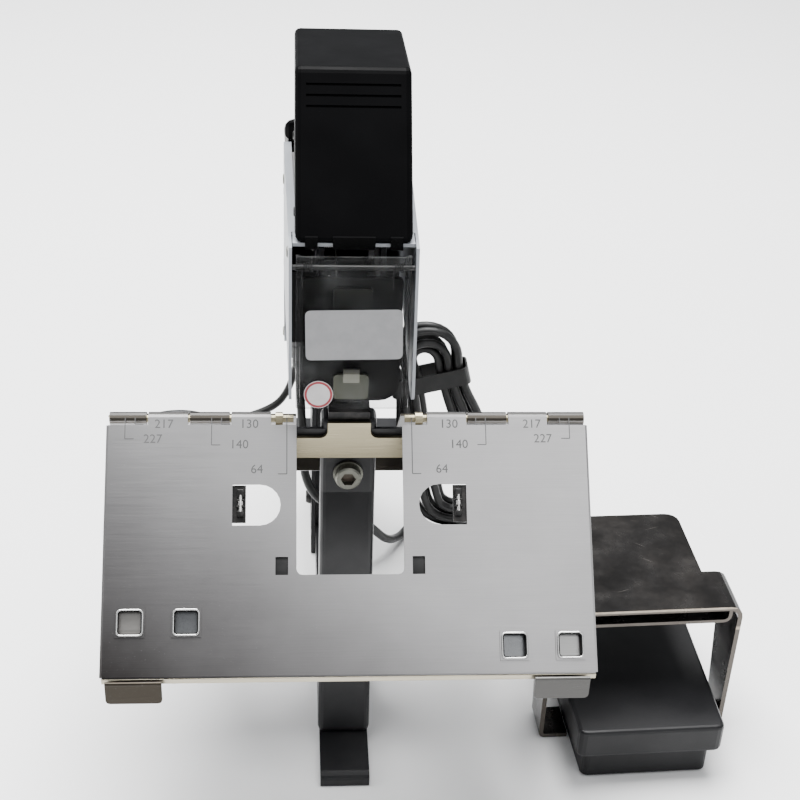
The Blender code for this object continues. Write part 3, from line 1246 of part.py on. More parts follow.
def plunger():
    """The steel plunger that the winding pulls down on the lever."""
    bm = bmesh.new()
    low, high = LEVER_TOP + GAP, PLUNGER_TOP
    edge = RUNNING_GAP
    profile = [(0, low), (PLUNGER_RADIUS - 4 * edge, low), (PLUNGER_RADIUS - edge, low + 4 * edge),
               (PLUNGER_RADIUS, low + 8 * edge), (PLUNGER_RADIUS, high - edge),
               (PLUNGER_RADIUS - edge, high), (0, high)]
    lathe(bm, "Z", (0, SOLENOID_REACH), profile, 20)
    put(bm, "plunger", "bright_steel", smooth=True)


def pivot_pin(name, reach, height):
    """A headed pin through both side plates."""
    half = BAR_WIDTH / 2 + 2 * GAP + SIDE_PLATE
    cap = PIVOT_PIN_RADIUS * PIN_HEAD_SHARE
    profile = [(0, -half - SIDE_PLATE / 2), (cap, -half - SIDE_PLATE / 2), (cap, -half),
               (PIVOT_PIN_RADIUS, -half),
               (PIVOT_PIN_RADIUS, half + SIDE_PLATE / 2), (0, half + SIDE_PLATE / 2)]
    bm = bmesh.new()
    lathe(bm, "X", (reach, height), profile, 16)
    put(bm, name, "bright_steel", smooth=True)


def drive_lever():
    """The lever from its pivot to the driver holder, pressed down by the plunger."""
    low = LEVER_TOP - LEVER_DEPTH - LEVER_PIVOT_HEIGHT
    high = LEVER_TOP - LEVER_PIVOT_HEIGHT
    nose = -(LEVER_PIVOT_REACH + LEVER_NOSE_REACH)
    outline = [(nose, high - LEVER_DEPTH * LEVER_NOSE_SHARE), (nose, low)]
    outline += arc((0, 0), LEVER_BOSS_RADIUS, LEVER_EYE_START, LEVER_EYE_END, 12)
    outline += [(nose + LEVER_DEPTH, high)]
    bm = bmesh.new()
    prism(bm, outline, "X", -LEVER_HALF_WIDTH, LEVER_HALF_WIDTH)
    piece = put(bm, "drive_lever", "dark_steel", (0, LEVER_PIVOT_REACH, LEVER_PIVOT_HEIGHT), smooth=True)
    bm = bmesh.new()
    half = LEVER_HALF_WIDTH + OVERRUN
    rod(bm, "X", (0, 0), PIVOT_PIN_RADIUS + GAP, -half, half, 16)
    combine(piece, tool(bm, "lever_bore", piece.location))


def lever_spring():
    """The torsion spring beside the lever on its pivot pin."""
    centre = (LEVER_PIVOT_REACH, LEVER_PIVOT_HEIGHT)
    room = BAR_WIDTH / 2 - LEVER_HALF_WIDTH
    pitch = (room - 2 * RUNNING_GAP - 2 * SPRING_WIRE) / RETURN_SPRING_TURNS
    start = LEVER_HALF_WIDTH + RUNNING_GAP + SPRING_WIRE
    coil = helix("X", centre, RETURN_SPRING_RADIUS, start, RETURN_SPRING_TURNS, pitch, 10, math.pi / 2)
    leg = 4 * RETURN_SPRING_RADIUS
    first, last = coil[0], coil[-1]
    points = [(first[0], first[1] + leg, first[2])] + coil + [(last[0], last[1] - leg, last[2])]
    wire("lever_spring", points, SPRING_WIRE, "bright_steel", 1)


def head_plate():
    """The dark plate across the front of the stapling head."""
    half, corner = HEAD_PLATE_HALF, HEAD_PLATE_CORNER
    outline = [(-half, HEAD_PLATE_BOTTOM), (half, HEAD_PLATE_BOTTOM), (half, HEAD_PLATE_TOP),
               (-half, HEAD_PLATE_TOP)]
    bm = bmesh.new()
    prism(bm, rounded(outline, [corner, corner, WINDOW_CORNER, WINDOW_CORNER], 5), "Y",
          -HEAD_PLATE_FRONT, HEAD_PLATE_THICKNESS - HEAD_PLATE_FRONT)
    put(bm, "head_plate", "dark_steel", (0, 0, 0))


def nose_pieces():
    """The nose plate, the driver guide above it and the latch block between them."""
    face = -HEAD_PLATE_FRONT - GAP
    corner = NOSE_CORNER
    bm = bmesh.new()
    half = NOSE_HALF_WIDTH
    outline = [(-half, HEAD_PLATE_BOTTOM + corner), (half, HEAD_PLATE_BOTTOM + corner), (half, NOSE_TOP),
               (-half, NOSE_TOP)]
    prism(bm, rounded(outline, [corner, corner, corner, corner], 3), "Y", face - NOSE_THICKNESS, face)
    put(bm, "nose_plate", "nickel")
    bm = bmesh.new()
    half = LATCH_HALF_WIDTH
    front = face - NOSE_THICKNESS - GAP
    outline = [(front, LATCH_BOTTOM), (front, LATCH_TOP),
               (front - LATCH_THICKNESS * LATCH_TOP_SHARE, LATCH_TOP),
               (front - LATCH_THICKNESS, LATCH_TOP - LATCH_THICKNESS * LATCH_SLOPE_SHARE),
               (front - LATCH_THICKNESS, LATCH_BOTTOM)]
    prism(bm, outline, "X", -half, half)
    put(bm, "nose_latch", "bright_steel")
    bm = bmesh.new()
    half = GUIDE_HALF_WIDTH
    outline = [(-half, GUIDE_BOTTOM), (half, GUIDE_BOTTOM), (half, GUIDE_TOP), (-half, GUIDE_TOP)]
    prism(bm, rounded(outline, corner, 3), "Y", face - GUIDE_THICKNESS, face)
    put(bm, "driver_guide", "olive_steel")


def magazine_rail():
    """The staple channel with its front cut for the blade and its arm back to the pivot."""
    half, wall = RAIL_HALF_WIDTH, RAIL_WALL
    low, high = RAIL_BOTTOM, RAIL_BOTTOM + RAIL_HEIGHT
    front = HEAD_PLATE_THICKNESS - HEAD_PLATE_FRONT + GAP
    outline = [(-half, low), (half, low), (half, high), (half - wall, high), (half - wall, low + wall),
               (wall - half, low + wall), (wall - half, high), (-half, high)]
    bm = bmesh.new()
    prism(bm, outline, "Y", front, RAIL_REAR)
    piece = put(bm, "magazine_rail", "brushed_steel")
    bm = bmesh.new()
    slot = BLADE_HALF_WIDTH + RUNNING_GAP
    box(bm, (-slot, front - OVERRUN, low - OVERRUN), (slot, blade_back() + RUNNING_GAP, high + OVERRUN))
    combine(piece, tool(bm, "blade_slot"))
    bm = bmesh.new()
    root = RAIL_REAR - RAIL_HEIGHT * ARM_ROOT_SHARE
    outline = [(root, low + wall / 2), (RAIL_REAR - wall, low + wall / 2)]
    outline += arc((HEAD_PIVOT_REACH, HEAD_PIVOT_HEIGHT), PIVOT_BOSS_RADIUS, ARM_EYE_START, ARM_EYE_END, 10)
    outline += [(root, high)]
    prism(bm, outline, "X", -ARM_BAR_HALF_WIDTH, ARM_BAR_HALF_WIDTH)
    combine(piece, tool(bm, "rail_arm"), "UNION")
    bm = bmesh.new()
    rod(bm, "X", (HEAD_PIVOT_REACH, HEAD_PIVOT_HEIGHT), PIVOT_PIN_RADIUS + GAP, -half, half, 16)
    combine(piece, tool(bm, "rail_bore"))


def blade_back():
    """The rear face of the driver blade."""
    return HEAD_PLATE_THICKNESS - HEAD_PLATE_FRONT + RUNNING_GAP + BLADE_THICKNESS


def staples_and_pusher():
    """The stick of staples in the channel and the pusher behind it."""
    floor = RAIL_BOTTOM + RAIL_WALL + GAP
    front = blade_back() + 2 * RUNNING_GAP
    half, wall = STRIP_HALF_WIDTH, STRIP_WALL
    top = floor + STRIP_HEIGHT
    outline = [(-half, floor), (-half, top), (half, top), (half, floor), (half - wall, floor),
               (half - wall, top - wall), (wall - half, top - wall), (wall - half, floor)]
    bm = bmesh.new()
    prism(bm, outline, "Y", front, front + STRIP_LENGTH)
    put(bm, "staple_strip", "bright_steel")
    half = RAIL_HALF_WIDTH - RAIL_WALL - GAP
    start = front + STRIP_LENGTH + GAP
    bm = bmesh.new()
    outline = [(start, floor), (start + PUSHER_LENGTH, floor),
               (start + PUSHER_LENGTH * PUSHER_SLOPE_SHARE, floor + PUSHER_HEIGHT),
               (start, floor + PUSHER_HEIGHT)]
    prism(bm, outline, "X", -half, half)
    put(bm, "staple_pusher", "dark_steel", (0, 0, 0))


def magazine_cover():
    """The cover over the staple channel."""
    inner = RAIL_HALF_WIDTH + GAP
    outer = inner + RAIL_WALL
    low = RAIL_BOTTOM + RAIL_HEIGHT / 3
    high = RAIL_BOTTOM + RAIL_HEIGHT + GAP + RAIL_WALL
    outline = [(-outer, low), (-outer, high), (outer, high), (outer, low), (inner, low),
               (inner, high - RAIL_WALL),
               (-inner, high - RAIL_WALL), (-inner, low)]
    bm = bmesh.new()
    prism(bm, outline, "Y", BLADE_HALF_WIDTH, RAIL_REAR - 2 * RAIL_HEIGHT)
    put(bm, "magazine_cover", "dark_steel")


def driver():
    """The holder under the lever's nose and the blade that it drives."""
    back = blade_back()
    top = LEVER_TOP - LEVER_DEPTH - GAP
    bm = bmesh.new()
    half = HOLDER_HALF_WIDTH
    box(bm, (-half, back + GAP, top - HOLDER_HEIGHT), (half, back + GAP + HOLDER_DEPTH, top))
    piece = put(bm, "driver_holder", "dark_steel")
    soften(piece, RUNNING_GAP, 1)
    bm = bmesh.new()
    half = BLADE_HALF_WIDTH
    box(bm, (-half, back - BLADE_THICKNESS, BLADE_BOTTOM), (half, back, top - HOLDER_HEIGHT / 4))
    put(bm, "driver_blade", "bright_steel")


def guard_axis():
    """Where the finger guard turns."""
    return (0, -GUARD_PIN_REACH, GUARD_PIN_HEIGHT)


def guard_face():
    """Distance of the guard's outer face in front of its axis, and of its top edge above it."""
    foot = (-GUARD_BOTTOM_REACH, GUARD_BOTTOM)
    lean = math.tan(GUARD_LEAN)
    top = (foot[0] + (GUARD_TOP - GUARD_BOTTOM) * lean, GUARD_TOP)
    away = (top[0] + GUARD_PIN_REACH, top[1] - GUARD_PIN_HEIGHT)
    front = -away[0] * math.cos(GUARD_LEAN) + away[1] * math.sin(GUARD_LEAN)
    rise = away[0] * math.sin(GUARD_LEAN) + away[1] * math.cos(GUARD_LEAN)
    return front, rise


def finger_guard():
    """The clear guard: a panel with side walls, modelled upright and leaned back."""
    front, rise = guard_face()
    drop = rise - (GUARD_TOP - GUARD_BOTTOM) / math.cos(GUARD_LEAN)
    half, wall, depth = GUARD_HALF_WIDTH, GUARD_WALL, GUARD_SIDE_DEPTH
    back = depth - front
    outline = [(-half, back), (-half, -front), (half, -front), (half, back), (half - wall, back),
               (half - wall, wall - front), (wall - half, wall - front), (wall - half, back)]
    corner = WINDOW_CORNER
    bm = bmesh.new()
    prism(bm, rounded(outline, [0, corner, corner, 0, 0, 0, 0, 0], 3), "Z", drop, rise)
    piece = put(bm, "finger_guard", "clear_plastic", guard_axis(), (-GUARD_LEAN, 0, 0), smooth=True)
    place = (piece.location, piece.rotation_euler)
    bm = bmesh.new()
    cut = [(back + OVERRUN, -2 * GUARD_BOSS_RADIUS), (back + OVERRUN, rise + OVERRUN), (0, rise + OVERRUN)]
    cut += arc((0, 0), GUARD_BOSS_RADIUS, math.pi / 2, 0, 5)
    cut += [(back - corner, -2 * GUARD_BOSS_RADIUS)]
    prism(bm, cut, "X", -half - OVERRUN, half + OVERRUN)
    combine(piece, tool(bm, "guard_back_shape", *place))
    bm = bmesh.new()
    rod(bm, "X", (0, 0), GUARD_PIN_RADIUS + GAP, -half - OVERRUN, half + OVERRUN, 16)
    combine(piece, tool(bm, "guard_bore", *place))


def guard_hinge_pin():
    """The thin rod between the shells that the guard turns on."""
    bm = bmesh.new()
    half = SHELL_FRONT_HALF - SHELL_WALL - GAP
    rod(bm, "X", (-GUARD_PIN_REACH, GUARD_PIN_HEIGHT), GUARD_PIN_RADIUS, -half, half, 16)
    put(bm, "guard_hinge_pin", "bright_steel", smooth=True)


def guard_spring(name, side):
    """One small torsion spring on the guard's pin, with a leg down behind the panel."""
    length = GUARD_SPRING_TURNS * GUARD_SPRING_PITCH
    outer = GUARD_HALF_WIDTH - GUARD_WALL - RUNNING_GAP - GUARD_SPRING_WIRE
    start = outer - length if side > 0 else -outer
    coil = helix("X", (0, 0), GUARD_SPRING_RADIUS, start, GUARD_SPRING_TURNS, GUARD_SPRING_PITCH, 8,
                 math.pi)
    leg = GUARD_SPRING_LEG
    first, tail = coil[0], coil[-3]
    points = [(first[0], first[1], first[2] - leg)] + coil[:-2] + [(tail[0], tail[1] + leg / 2, tail[2])]
    piece = wire(name, points, GUARD_SPRING_WIRE, "bright_steel", 1)
    piece.location = guard_axis()
    piece.rotation_euler = (-GUARD_LEAN, 0, 0)


def pedal_place(x, y, z):
    """A place in the pedal's own frame, in the frame of the whole machine."""
    turned = Matrix.Rotation(PEDAL_YAW, 3, "Z") @ Vector((x, y, z))
    return (PEDAL_X + turned.x, PEDAL_Y + turned.y, turned.z)


PEDAL_TURN = (0, 0, PEDAL_YAW)


def treadle_half(reach):
    """Half width of the treadle at a place along its length."""
    share = (reach + PEDAL_FRONT) / (PEDAL_FRONT + PEDAL_REAR)
    return TREADLE_FRONT_HALF + (TREADLE_REAR_HALF - TREADLE_FRONT_HALF) * share


def pedal_plan(inward):
    """The tapered plan of the pedal, moved inwards by a distance."""
    front, rear = -PEDAL_FRONT + inward, PEDAL_REAR - inward
    return [(-treadle_half(front) + inward, front), (treadle_half(front) - inward, front),
            (treadle_half(rear) - inward, rear), (-treadle_half(rear) + inward, rear)]


def pedal_base():
    """The base tray of the pedal with its feet, the hinge cheeks and pin, and the cord boss."""
    low = PEDAL_FOOT_HEIGHT
    outer = pedal_plan(PEDAL_BASE_INSET)
    bm = bmesh.new()
    prism(bm, rounded(outer, PEDAL_BASE_EDGE, 4), "Z", low, PEDAL_BASE_HEIGHT)
    piece = put(bm, "pedal_base", "pedal_plastic", pedal_place(0, 0, 0), PEDAL_TURN)
    place = (piece.location, piece.rotation_euler)
    bm = bmesh.new()
    inner = pedal_plan(PEDAL_BASE_INSET + PEDAL_BASE_WALL)
    prism(bm, rounded(inner, PEDAL_BASE_EDGE / 2, 2), "Z", PEDAL_BASE_HEIGHT - PEDAL_TROUGH,
          PEDAL_BASE_HEIGHT + OVERRUN)
    combine(piece, tool(bm, "pedal_trough", *place))
    floor = PEDAL_BASE_HEIGHT - PEDAL_TROUGH
    for side in (-1, 1):
        bm = bmesh.new()
        x = side * (treadle_half(PEDAL_PIN_REACH) - 2 * PEDAL_BASE_INSET - PEDAL_BASE_WALL)
        ends = sorted((x, x - side * PEDAL_CHEEK_THICKNESS))
        wide = PEDAL_BOSS_RADIUS
        outline = [(PEDAL_PIN_REACH - wide, floor - GAP), (PEDAL_PIN_REACH + wide, floor - GAP)]
        outline += arc((PEDAL_PIN_REACH, PEDAL_PIN_HEIGHT), wide, 0, math.pi, 8)
        prism(bm, outline, "X", ends[0], ends[1])
        combine(piece, tool(bm, "pedal_cheek", *place), "UNION")
    bm = bmesh.new()
    span = treadle_half(PEDAL_PIN_REACH) - 2 * PEDAL_BASE_INSET - PEDAL_BASE_WALL - PEDAL_CHEEK_THICKNESS / 2
    rod(bm, "X", (PEDAL_PIN_REACH, PEDAL_PIN_HEIGHT), PEDAL_PIN_RADIUS, -span, span, 14)
    combine(piece, tool(bm, "pedal_pin", *place), "UNION")
    for x, y in pedal_plan(PEDAL_BASE_INSET + 2 * PEDAL_FOOT_RADIUS):
        bm = bmesh.new()
        rod(bm, "Z", (x, y), PEDAL_FOOT_RADIUS, 0, low + GAP, 14)
        combine(piece, tool(bm, "pedal_foot", *place), "UNION")
    bm = bmesh.new()
    half = PEDAL_SWITCH_SIZE / 2
    box(bm, (-half, PEDAL_SPRING_REACH - half, floor - GAP),
        (half, PEDAL_SPRING_REACH + half, floor + PEDAL_SWITCH_HEIGHT))
    combine(piece, tool(bm, "pedal_switch", *place), "UNION")
    bm = bmesh.new()
    rear = PEDAL_REAR - PEDAL_BASE_INSET
    rod(bm, "Y", (0, PEDAL_BASE_HEIGHT / 2), GLAND_RADIUS, rear - PEDAL_BASE_WALL / 2, rear + GLAND_NUT, 16)
    combine(piece, tool(bm, "pedal_cord_boss", *place), "UNION")


def pedal_treadle():
    """The treadle: an inverted tray with hinge ears, pressed by the foot."""
    axis = (0, PEDAL_PIN_REACH, PEDAL_PIN_HEIGHT)
    outer = [(x, y - axis[1]) for x, y in pedal_plan(0)]
    low, high = PEDAL_BASE_HEIGHT + 6 * RUNNING_GAP - axis[2], TREADLE_TOP - axis[2]
    bm = bmesh.new()
    prism(bm, rounded(outer, TREADLE_EDGE, 3), "Z", low, high)
    piece = put(bm, "pedal_treadle", "pedal_plastic", pedal_place(*axis), PEDAL_TURN, smooth=True)
    place = (piece.location, piece.rotation_euler)
    bevel = piece.modifiers.new("edges", "BEVEL")
    bevel.width = TREADLE_EDGE / 2
    bevel.segments = 3
    bevel.limit_method = "ANGLE"
    bevel.angle_limit = math.radians(60)
    inner = [(x, y - axis[1]) for x, y in pedal_plan(TREADLE_WALL)]
    bm = bmesh.new()
    prism(bm, rounded(inner, TREADLE_EDGE / 2, 2), "Z", low - OVERRUN, high - TREADLE_WALL)
    combine(piece, tool(bm, "treadle_inside", *place))
    for side in (-1, 1):
        x = treadle_half(PEDAL_PIN_REACH) - 2 * PEDAL_BASE_INSET - PEDAL_BASE_WALL - PEDAL_CHEEK_THICKNESS
        far = side * (x - RUNNING_GAP)
        near = side * (x - RUNNING_GAP - PEDAL_CHEEK_THICKNESS)
        wide = PEDAL_BOSS_RADIUS
        outline = [(-wide, high - TREADLE_WALL / 2)]
        outline += arc((0, 0), wide, math.pi, 2 * math.pi, 8)
        outline += [(wide, high - TREADLE_WALL / 2)]
        bm = bmesh.new()
        prism(bm, outline, "X", min(near, far), max(near, far))
        combine(piece, tool(bm, "treadle_ear", *place), "UNION")
        bm = bmesh.new()
        rod(bm, "X", (0, 0), PEDAL_PIN_RADIUS + GAP, min(near, far) - OVERRUN, max(near, far) + OVERRUN, 14)
        combine(piece, tool(bm, "treadle_bore", *place))


def pedal_guard():
    """The bent steel bridge over the treadle, with a tongue to the back."""
    wide, high, wall = BRIDGE_HALF_WIDTH, BRIDGE_HEIGHT, BRIDGE_THICKNESS
    foot = treadle_half(BRIDGE_BACK) - PEDAL_BASE_INSET + GAP
    path = rounded([(foot, 0), (wide, 0), (wide, high), (-wide, high), (-wide, 0), (-foot, 0)],
                   [0, BRIDGE_BEND / 2, BRIDGE_BEND, BRIDGE_BEND, BRIDGE_BEND / 2, 0], 4)
    bm = bmesh.new()
    prism(bm, strip_outline(path, wall), "Y", -BRIDGE_FRONT, BRIDGE_BACK)
    piece = put(bm, "pedal_guard", "bridge_steel", pedal_place(0, 0, 0), PEDAL_TURN, smooth=True)
    place = (piece.location, piece.rotation_euler)
    shape = [(-BRIDGE_FRONT - OVERRUN, -OVERRUN), (-BRIDGE_LEG_BACK, -OVERRUN),
             (-BRIDGE_LEG_BACK, LEG_TIP_CORNER), (BRIDGE_BACK + OVERRUN, high - 2 * BRIDGE_BEND),
             (BRIDGE_BACK + OVERRUN, high + OVERRUN), (-BRIDGE_FRONT - OVERRUN, high + OVERRUN)]
    bm = bmesh.new()
    prism(bm, rounded(shape, [0, LEG_TIP_CORNER, BRIDGE_BEND, 0, 0, 0], 4), "X", -2 * wide, 2 * wide)
    combine(piece, tool(bm, "bridge_side_shape", *place), "INTERSECT")
    bm = bmesh.new()
    half = TONGUE_HALF_WIDTH
    start = -BRIDGE_FRONT / 2
    outline = [(-half, start), (half, start), (half, TONGUE_REACH), (-half, TONGUE_REACH)]
    prism(bm, rounded(outline, [0, 0, BRIDGE_BEND, BRIDGE_BEND], 4), "Z", high - wall, high)
    combine(piece, tool(bm, "bridge_tongue", *place), "UNION")


def pedal_guard_inner():
    """The inner shelf below the bridge, its ends turned up against the bridge."""
    wide, low, wall = SHELF_HALF_WIDTH, SHELF_HEIGHT, SHELF_THICKNESS
    inner_bend = BRIDGE_BEND - BRIDGE_THICKNESS
    past = min(inner_bend, max(0, wide - (BRIDGE_HALF_WIDTH - BRIDGE_BEND)))
    drop = inner_bend - math.sqrt(inner_bend ** 2 - past ** 2)
    top = BRIDGE_HEIGHT - BRIDGE_THICKNESS - 2 * GAP - drop
    path = rounded([(-wide, top), (-wide, low), (wide, low), (wide, top)],
                   [0, SHELF_BEND, SHELF_BEND, 0], 4)
    bm = bmesh.new()
    front = -BRIDGE_FRONT + BRIDGE_THICKNESS
    prism(bm, strip_outline(path, wall), "Y", front, BRIDGE_BACK - BRIDGE_THICKNESS)
    put(bm, "pedal_guard_inner", "bridge_steel", pedal_place(0, 0, 0), PEDAL_TURN, smooth=True)


def pedal_spring():
    """The return spring between the base and the treadle."""
    floor = PEDAL_BASE_HEIGHT - PEDAL_TROUGH
    roof = TREADLE_TOP - TREADLE_WALL
    start = floor + GAP + PEDAL_SPRING_WIRE
    pitch = (roof - GAP - PEDAL_SPRING_WIRE - start) / PEDAL_SPRING_TURNS
    points = helix("Z", (0, -PEDAL_SPRING_REACH), PEDAL_SPRING_RADIUS, start, PEDAL_SPRING_TURNS, pitch, 10)
    piece = wire("pedal_spring", points, PEDAL_SPRING_WIRE, "bright_steel", 1)
    piece.location = pedal_place(0, 0, 0)
    piece.rotation_euler = PEDAL_TURN


def straight_ends(points):
    """The route with a straight, level piece one cord diameter long at both ends."""
    run = 2 * CORD_RADIUS
    first = Vector((points[0].x - points[1].x, points[0].y - points[1].y, 0)).normalized() * run
    last = Vector((points[-1].x - points[-2].x, points[-1].y - points[-2].y, 0)).normalized() * run
    return [points[0] + first] + points + [points[-1] + last]


def coil_route():
    """The mains coil: a spiral in along the desk, a climb of one layer, and a spiral out on top."""
    climb = COIL_POINTS // 2
    inward = MAINS_COIL_TURNS * COIL_POINTS
    outward = inward - COIL_POINTS // 4
    points = []
    for step in range(inward + climb + outward + 1):
        lift = min(1, max(0, (step - inward) / climb))
        lift = lift * lift * (3 - 2 * lift)
        turns_out = max(0, inward - step, step - inward - climb) / COIL_POINTS
        radius = MAINS_COIL_INNER + MAINS_COIL_STEP * turns_out
        angle = math.pi / 2 + 2 * math.pi * step / COIL_POINTS
        points.append(Vector((MAINS_COIL_X + radius * math.cos(angle),
                              MAINS_COIL_Y + radius * math.sin(angle),
                              CORD_RADIUS + GAP + MAINS_COIL_LAYER_STEP * lift)))
    return straight_ends(points)


def hank_half(turns_out):
    """Half width and half height of one loop of the hank."""
    return HANK_INNER_HALF_WIDTH + HANK_STEP * turns_out, HANK_INNER_HALF_HEIGHT + HANK_STEP * turns_out


def hank_flat_route():
    """The hank's loops in their own plane: across, up, and the layer's depth."""
    wide, tall = hank_half(HANK_TURNS)
    start = math.atan2(-tall * math.cos(HANK_TILT), -wide * math.sin(HANK_TILT))
    inward = round(HANK_TURNS * COIL_POINTS)
    climb = COIL_POINTS // 2
    points = []
    for step in range(2 * inward + climb + 1):
        lift = min(1, max(0, (step - inward) / climb))
        lift = lift * lift * (3 - 2 * lift)
        turns_out = max(0, inward - step, step - inward - climb) / COIL_POINTS
        angle = start + 2 * math.pi * step / COIL_POINTS
        half_width, half_height = hank_half(turns_out)
        up = half_height * math.sin(angle)
        waist = math.exp(-((up - tall * HANK_TIE_SHARE) / HANK_TIE_SPREAD) ** 2)
        points.append((half_width * math.cos(angle) * (1 - HANK_WAIST_SHARE * waist), up,
                       HANK_LAYER_STEP * lift))
    return points


def hank_stand(point):
    """A place in the hank's own plane, set down on the desk with the hank leaning over."""
    wide, tall = hank_half(HANK_TURNS)
    rise = math.hypot(tall * math.cos(HANK_TILT), wide * math.sin(HANK_TILT)) + CORD_RADIUS + 2 * GAP
    across, up, depth = point
    return Vector((HANK_X + across * math.cos(HANK_TILT) - up * math.sin(HANK_TILT), HANK_Y + depth,
                   rise + across * math.sin(HANK_TILT) + up * math.cos(HANK_TILT)))


def hank_route():
    """The pedal lead's hank, standing beside the column."""
    return straight_ends([hank_stand(point) for point in hank_flat_route()])


def hank_tie():
    """The band round the hank."""
    wide, tall = hank_half(HANK_TURNS)
    middle = tall * HANK_TIE_SHARE
    near = [point for point in hank_flat_route() if abs(point[1] - middle) < TIE_WIDTH]
    half = max(abs(point[0]) for point in near) + CORD_RADIUS + 3 * GAP
    low, high = -CORD_RADIUS - 2 * GAP, HANK_LAYER_STEP + CORD_RADIUS + 2 * GAP
    outer = [(-half - TIE_WALL, low - TIE_WALL), (half + TIE_WALL, low - TIE_WALL),
             (half + TIE_WALL, high + TIE_WALL), (-half - TIE_WALL, high + TIE_WALL)]
    inner = [(-half, low), (half, low), (half, high), (-half, high)]
    outer, inner = rounded(outer, CORD_RADIUS + TIE_WALL, 4), rounded(inner, CORD_RADIUS, 4)
    bm = bmesh.new()
    rings = []
    for ring, up in ((outer, middle - TIE_WIDTH / 2), (outer, middle + TIE_WIDTH / 2),
                     (inner, middle + TIE_WIDTH / 2), (inner, middle - TIE_WIDTH / 2)):
        rings.append([bm.verts.new(hank_stand((across, up, depth))) for across, depth in ring])
    for index, near in enumerate(rings):
        far = rings[(index + 1) % len(rings)]
        for step in range(len(near)):
            after = (step + 1) % len(near)
            bm.faces.new((near[step], near[after], far[after], far[step]))
    put(bm, "hank_tie", "black_rubber", smooth=True)


def face_start(points, gap_to):
    """The end point of a neighbouring cord, one gap past the end of these points."""
    way = (points[gap_to[0]] - points[gap_to[1]]).normalized()
    return points[gap_to[0]] + way * GAP, way


def cords():
    """The mains lead with its coil and plug, and the pedal lead with its tied hank."""
    coil, hank = coil_route(), hank_route()
    wire("mains_coil", coil, CORD_RADIUS, "black_rubber", 1)
    wire("pedal_hank", hank, CORD_RADIUS, "black_rubber", 1)
    print("coil gap", least_gap(coil, CORD_RADIUS, COIL_POINTS // 2))
    print("hank gap", least_gap(hank, CORD_RADIUS, COIL_POINTS // 2))
    run = 2 * CORD_RADIUS
    exit_y = SHELL_REAR + GLAND_LENGTH + GAP
    end, way = face_start(coil, (0, 1))
    route = [(-CONTROL_OFFSET, exit_y, MAINS_GLAND_HEIGHT),
             (-CONTROL_OFFSET, exit_y + run, MAINS_GLAND_HEIGHT),
             *MAINS_LEAD_POINTS, end + way * run, end]
    wire("mains_lead", smooth_route(route, CORD_POINT_STEP), CORD_RADIUS, "black_rubber", 2)
    end, way = face_start(coil, (-1, -2))
    height = PLUG_HEIGHT / 2 + GAP
    route = [end, end + way * run, *MAINS_TAIL_POINTS, (PLUG_X, PLUG_Y + run, height),
             (PLUG_X, PLUG_Y, height)]
    wire("mains_tail", smooth_route(route, CORD_POINT_STEP), CORD_RADIUS, "black_rubber", 2)
    end, way = face_start(hank, (0, 1))
    exit_z = REAR_BODY_BOTTOM + GAP - GLAND_LENGTH - GAP
    route = [(PEDAL_GLAND_X, PEDAL_GLAND_Y, exit_z), (PEDAL_GLAND_X, PEDAL_GLAND_Y, exit_z - run),
             *PEDAL_LEAD_POINTS, end + way * run, end]
    wire("pedal_cord_upper", smooth_route(route, CORD_POINT_STEP), CORD_RADIUS, "black_rubber", 2)
    end, way = face_start(hank, (-1, -2))
    boss = PEDAL_REAR - PEDAL_BASE_INSET + GLAND_NUT + GAP
    last = Vector(pedal_place(0, boss, PEDAL_BASE_HEIGHT / 2))
    before = Vector(pedal_place(0, boss + run, PEDAL_BASE_HEIGHT / 2))
    route = [end, end + way * run, *PEDAL_CORD_POINTS, before, last]
    wire("pedal_cord", smooth_route(route, CORD_POINT_STEP), CORD_RADIUS, "black_rubber", 2)


def mains_plug():
    """The moulded mains plug with its ribbed neck and two flat pins."""
    neck = CORD_BOOT_LENGTH / 2
    face = PLUG_Y - GAP - neck
    height = PLUG_HEIGHT / 2 + GAP
    bm = bmesh.new()
    profile = [(0, PLUG_Y - GAP), (CORD_BOOT_RADIUS * PLUG_BOOT_SHARE, PLUG_Y - GAP),
               (CORD_BOOT_RADIUS, face - PLUG_LENGTH / 4),
               (0, face - PLUG_LENGTH / 4)]
    lathe(bm, "Y", (PLUG_X, height), profile, 14)
    piece = put(bm, "mains_plug", "black_rubber", smooth=True)
    half_wide, half_high = PLUG_WIDTH / 2, PLUG_HEIGHT / 2
    narrow, shoulder = half_wide * PLUG_NECK_SHARE, face - PLUG_LENGTH * PLUG_SHOULDER_SHARE
    outline = [(PLUG_X - narrow, face), (PLUG_X + narrow, face), (PLUG_X + half_wide, shoulder),
               (PLUG_X + half_wide, face - PLUG_LENGTH), (PLUG_X - half_wide, face - PLUG_LENGTH),
               (PLUG_X - half_wide, shoulder)]
    bm = bmesh.new()
    prism(bm, rounded(outline, [0, 0, half_wide * PLUG_ROUNDING_SHARE, 0, 0,
                                half_wide * PLUG_ROUNDING_SHARE], 4), "Z",
          height - half_high, height + half_high)
    combine(piece, tool(bm, "plug_body"), "UNION")
    for side in (-1, 1):
        bm = bmesh.new()
        x = PLUG_X + side * PLUG_PIN_SPACING / 2
        box(bm, (x - PLUG_PIN_THICKNESS / 2, face - PLUG_LENGTH - PLUG_PIN_LENGTH,
                 height - PLUG_PIN_WIDTH / 2),
            (x + PLUG_PIN_THICKNESS / 2, face - PLUG_LENGTH + GAP, height + PLUG_PIN_WIDTH / 2))
        combine(piece, tool(bm, "plug_pin"), "UNION")


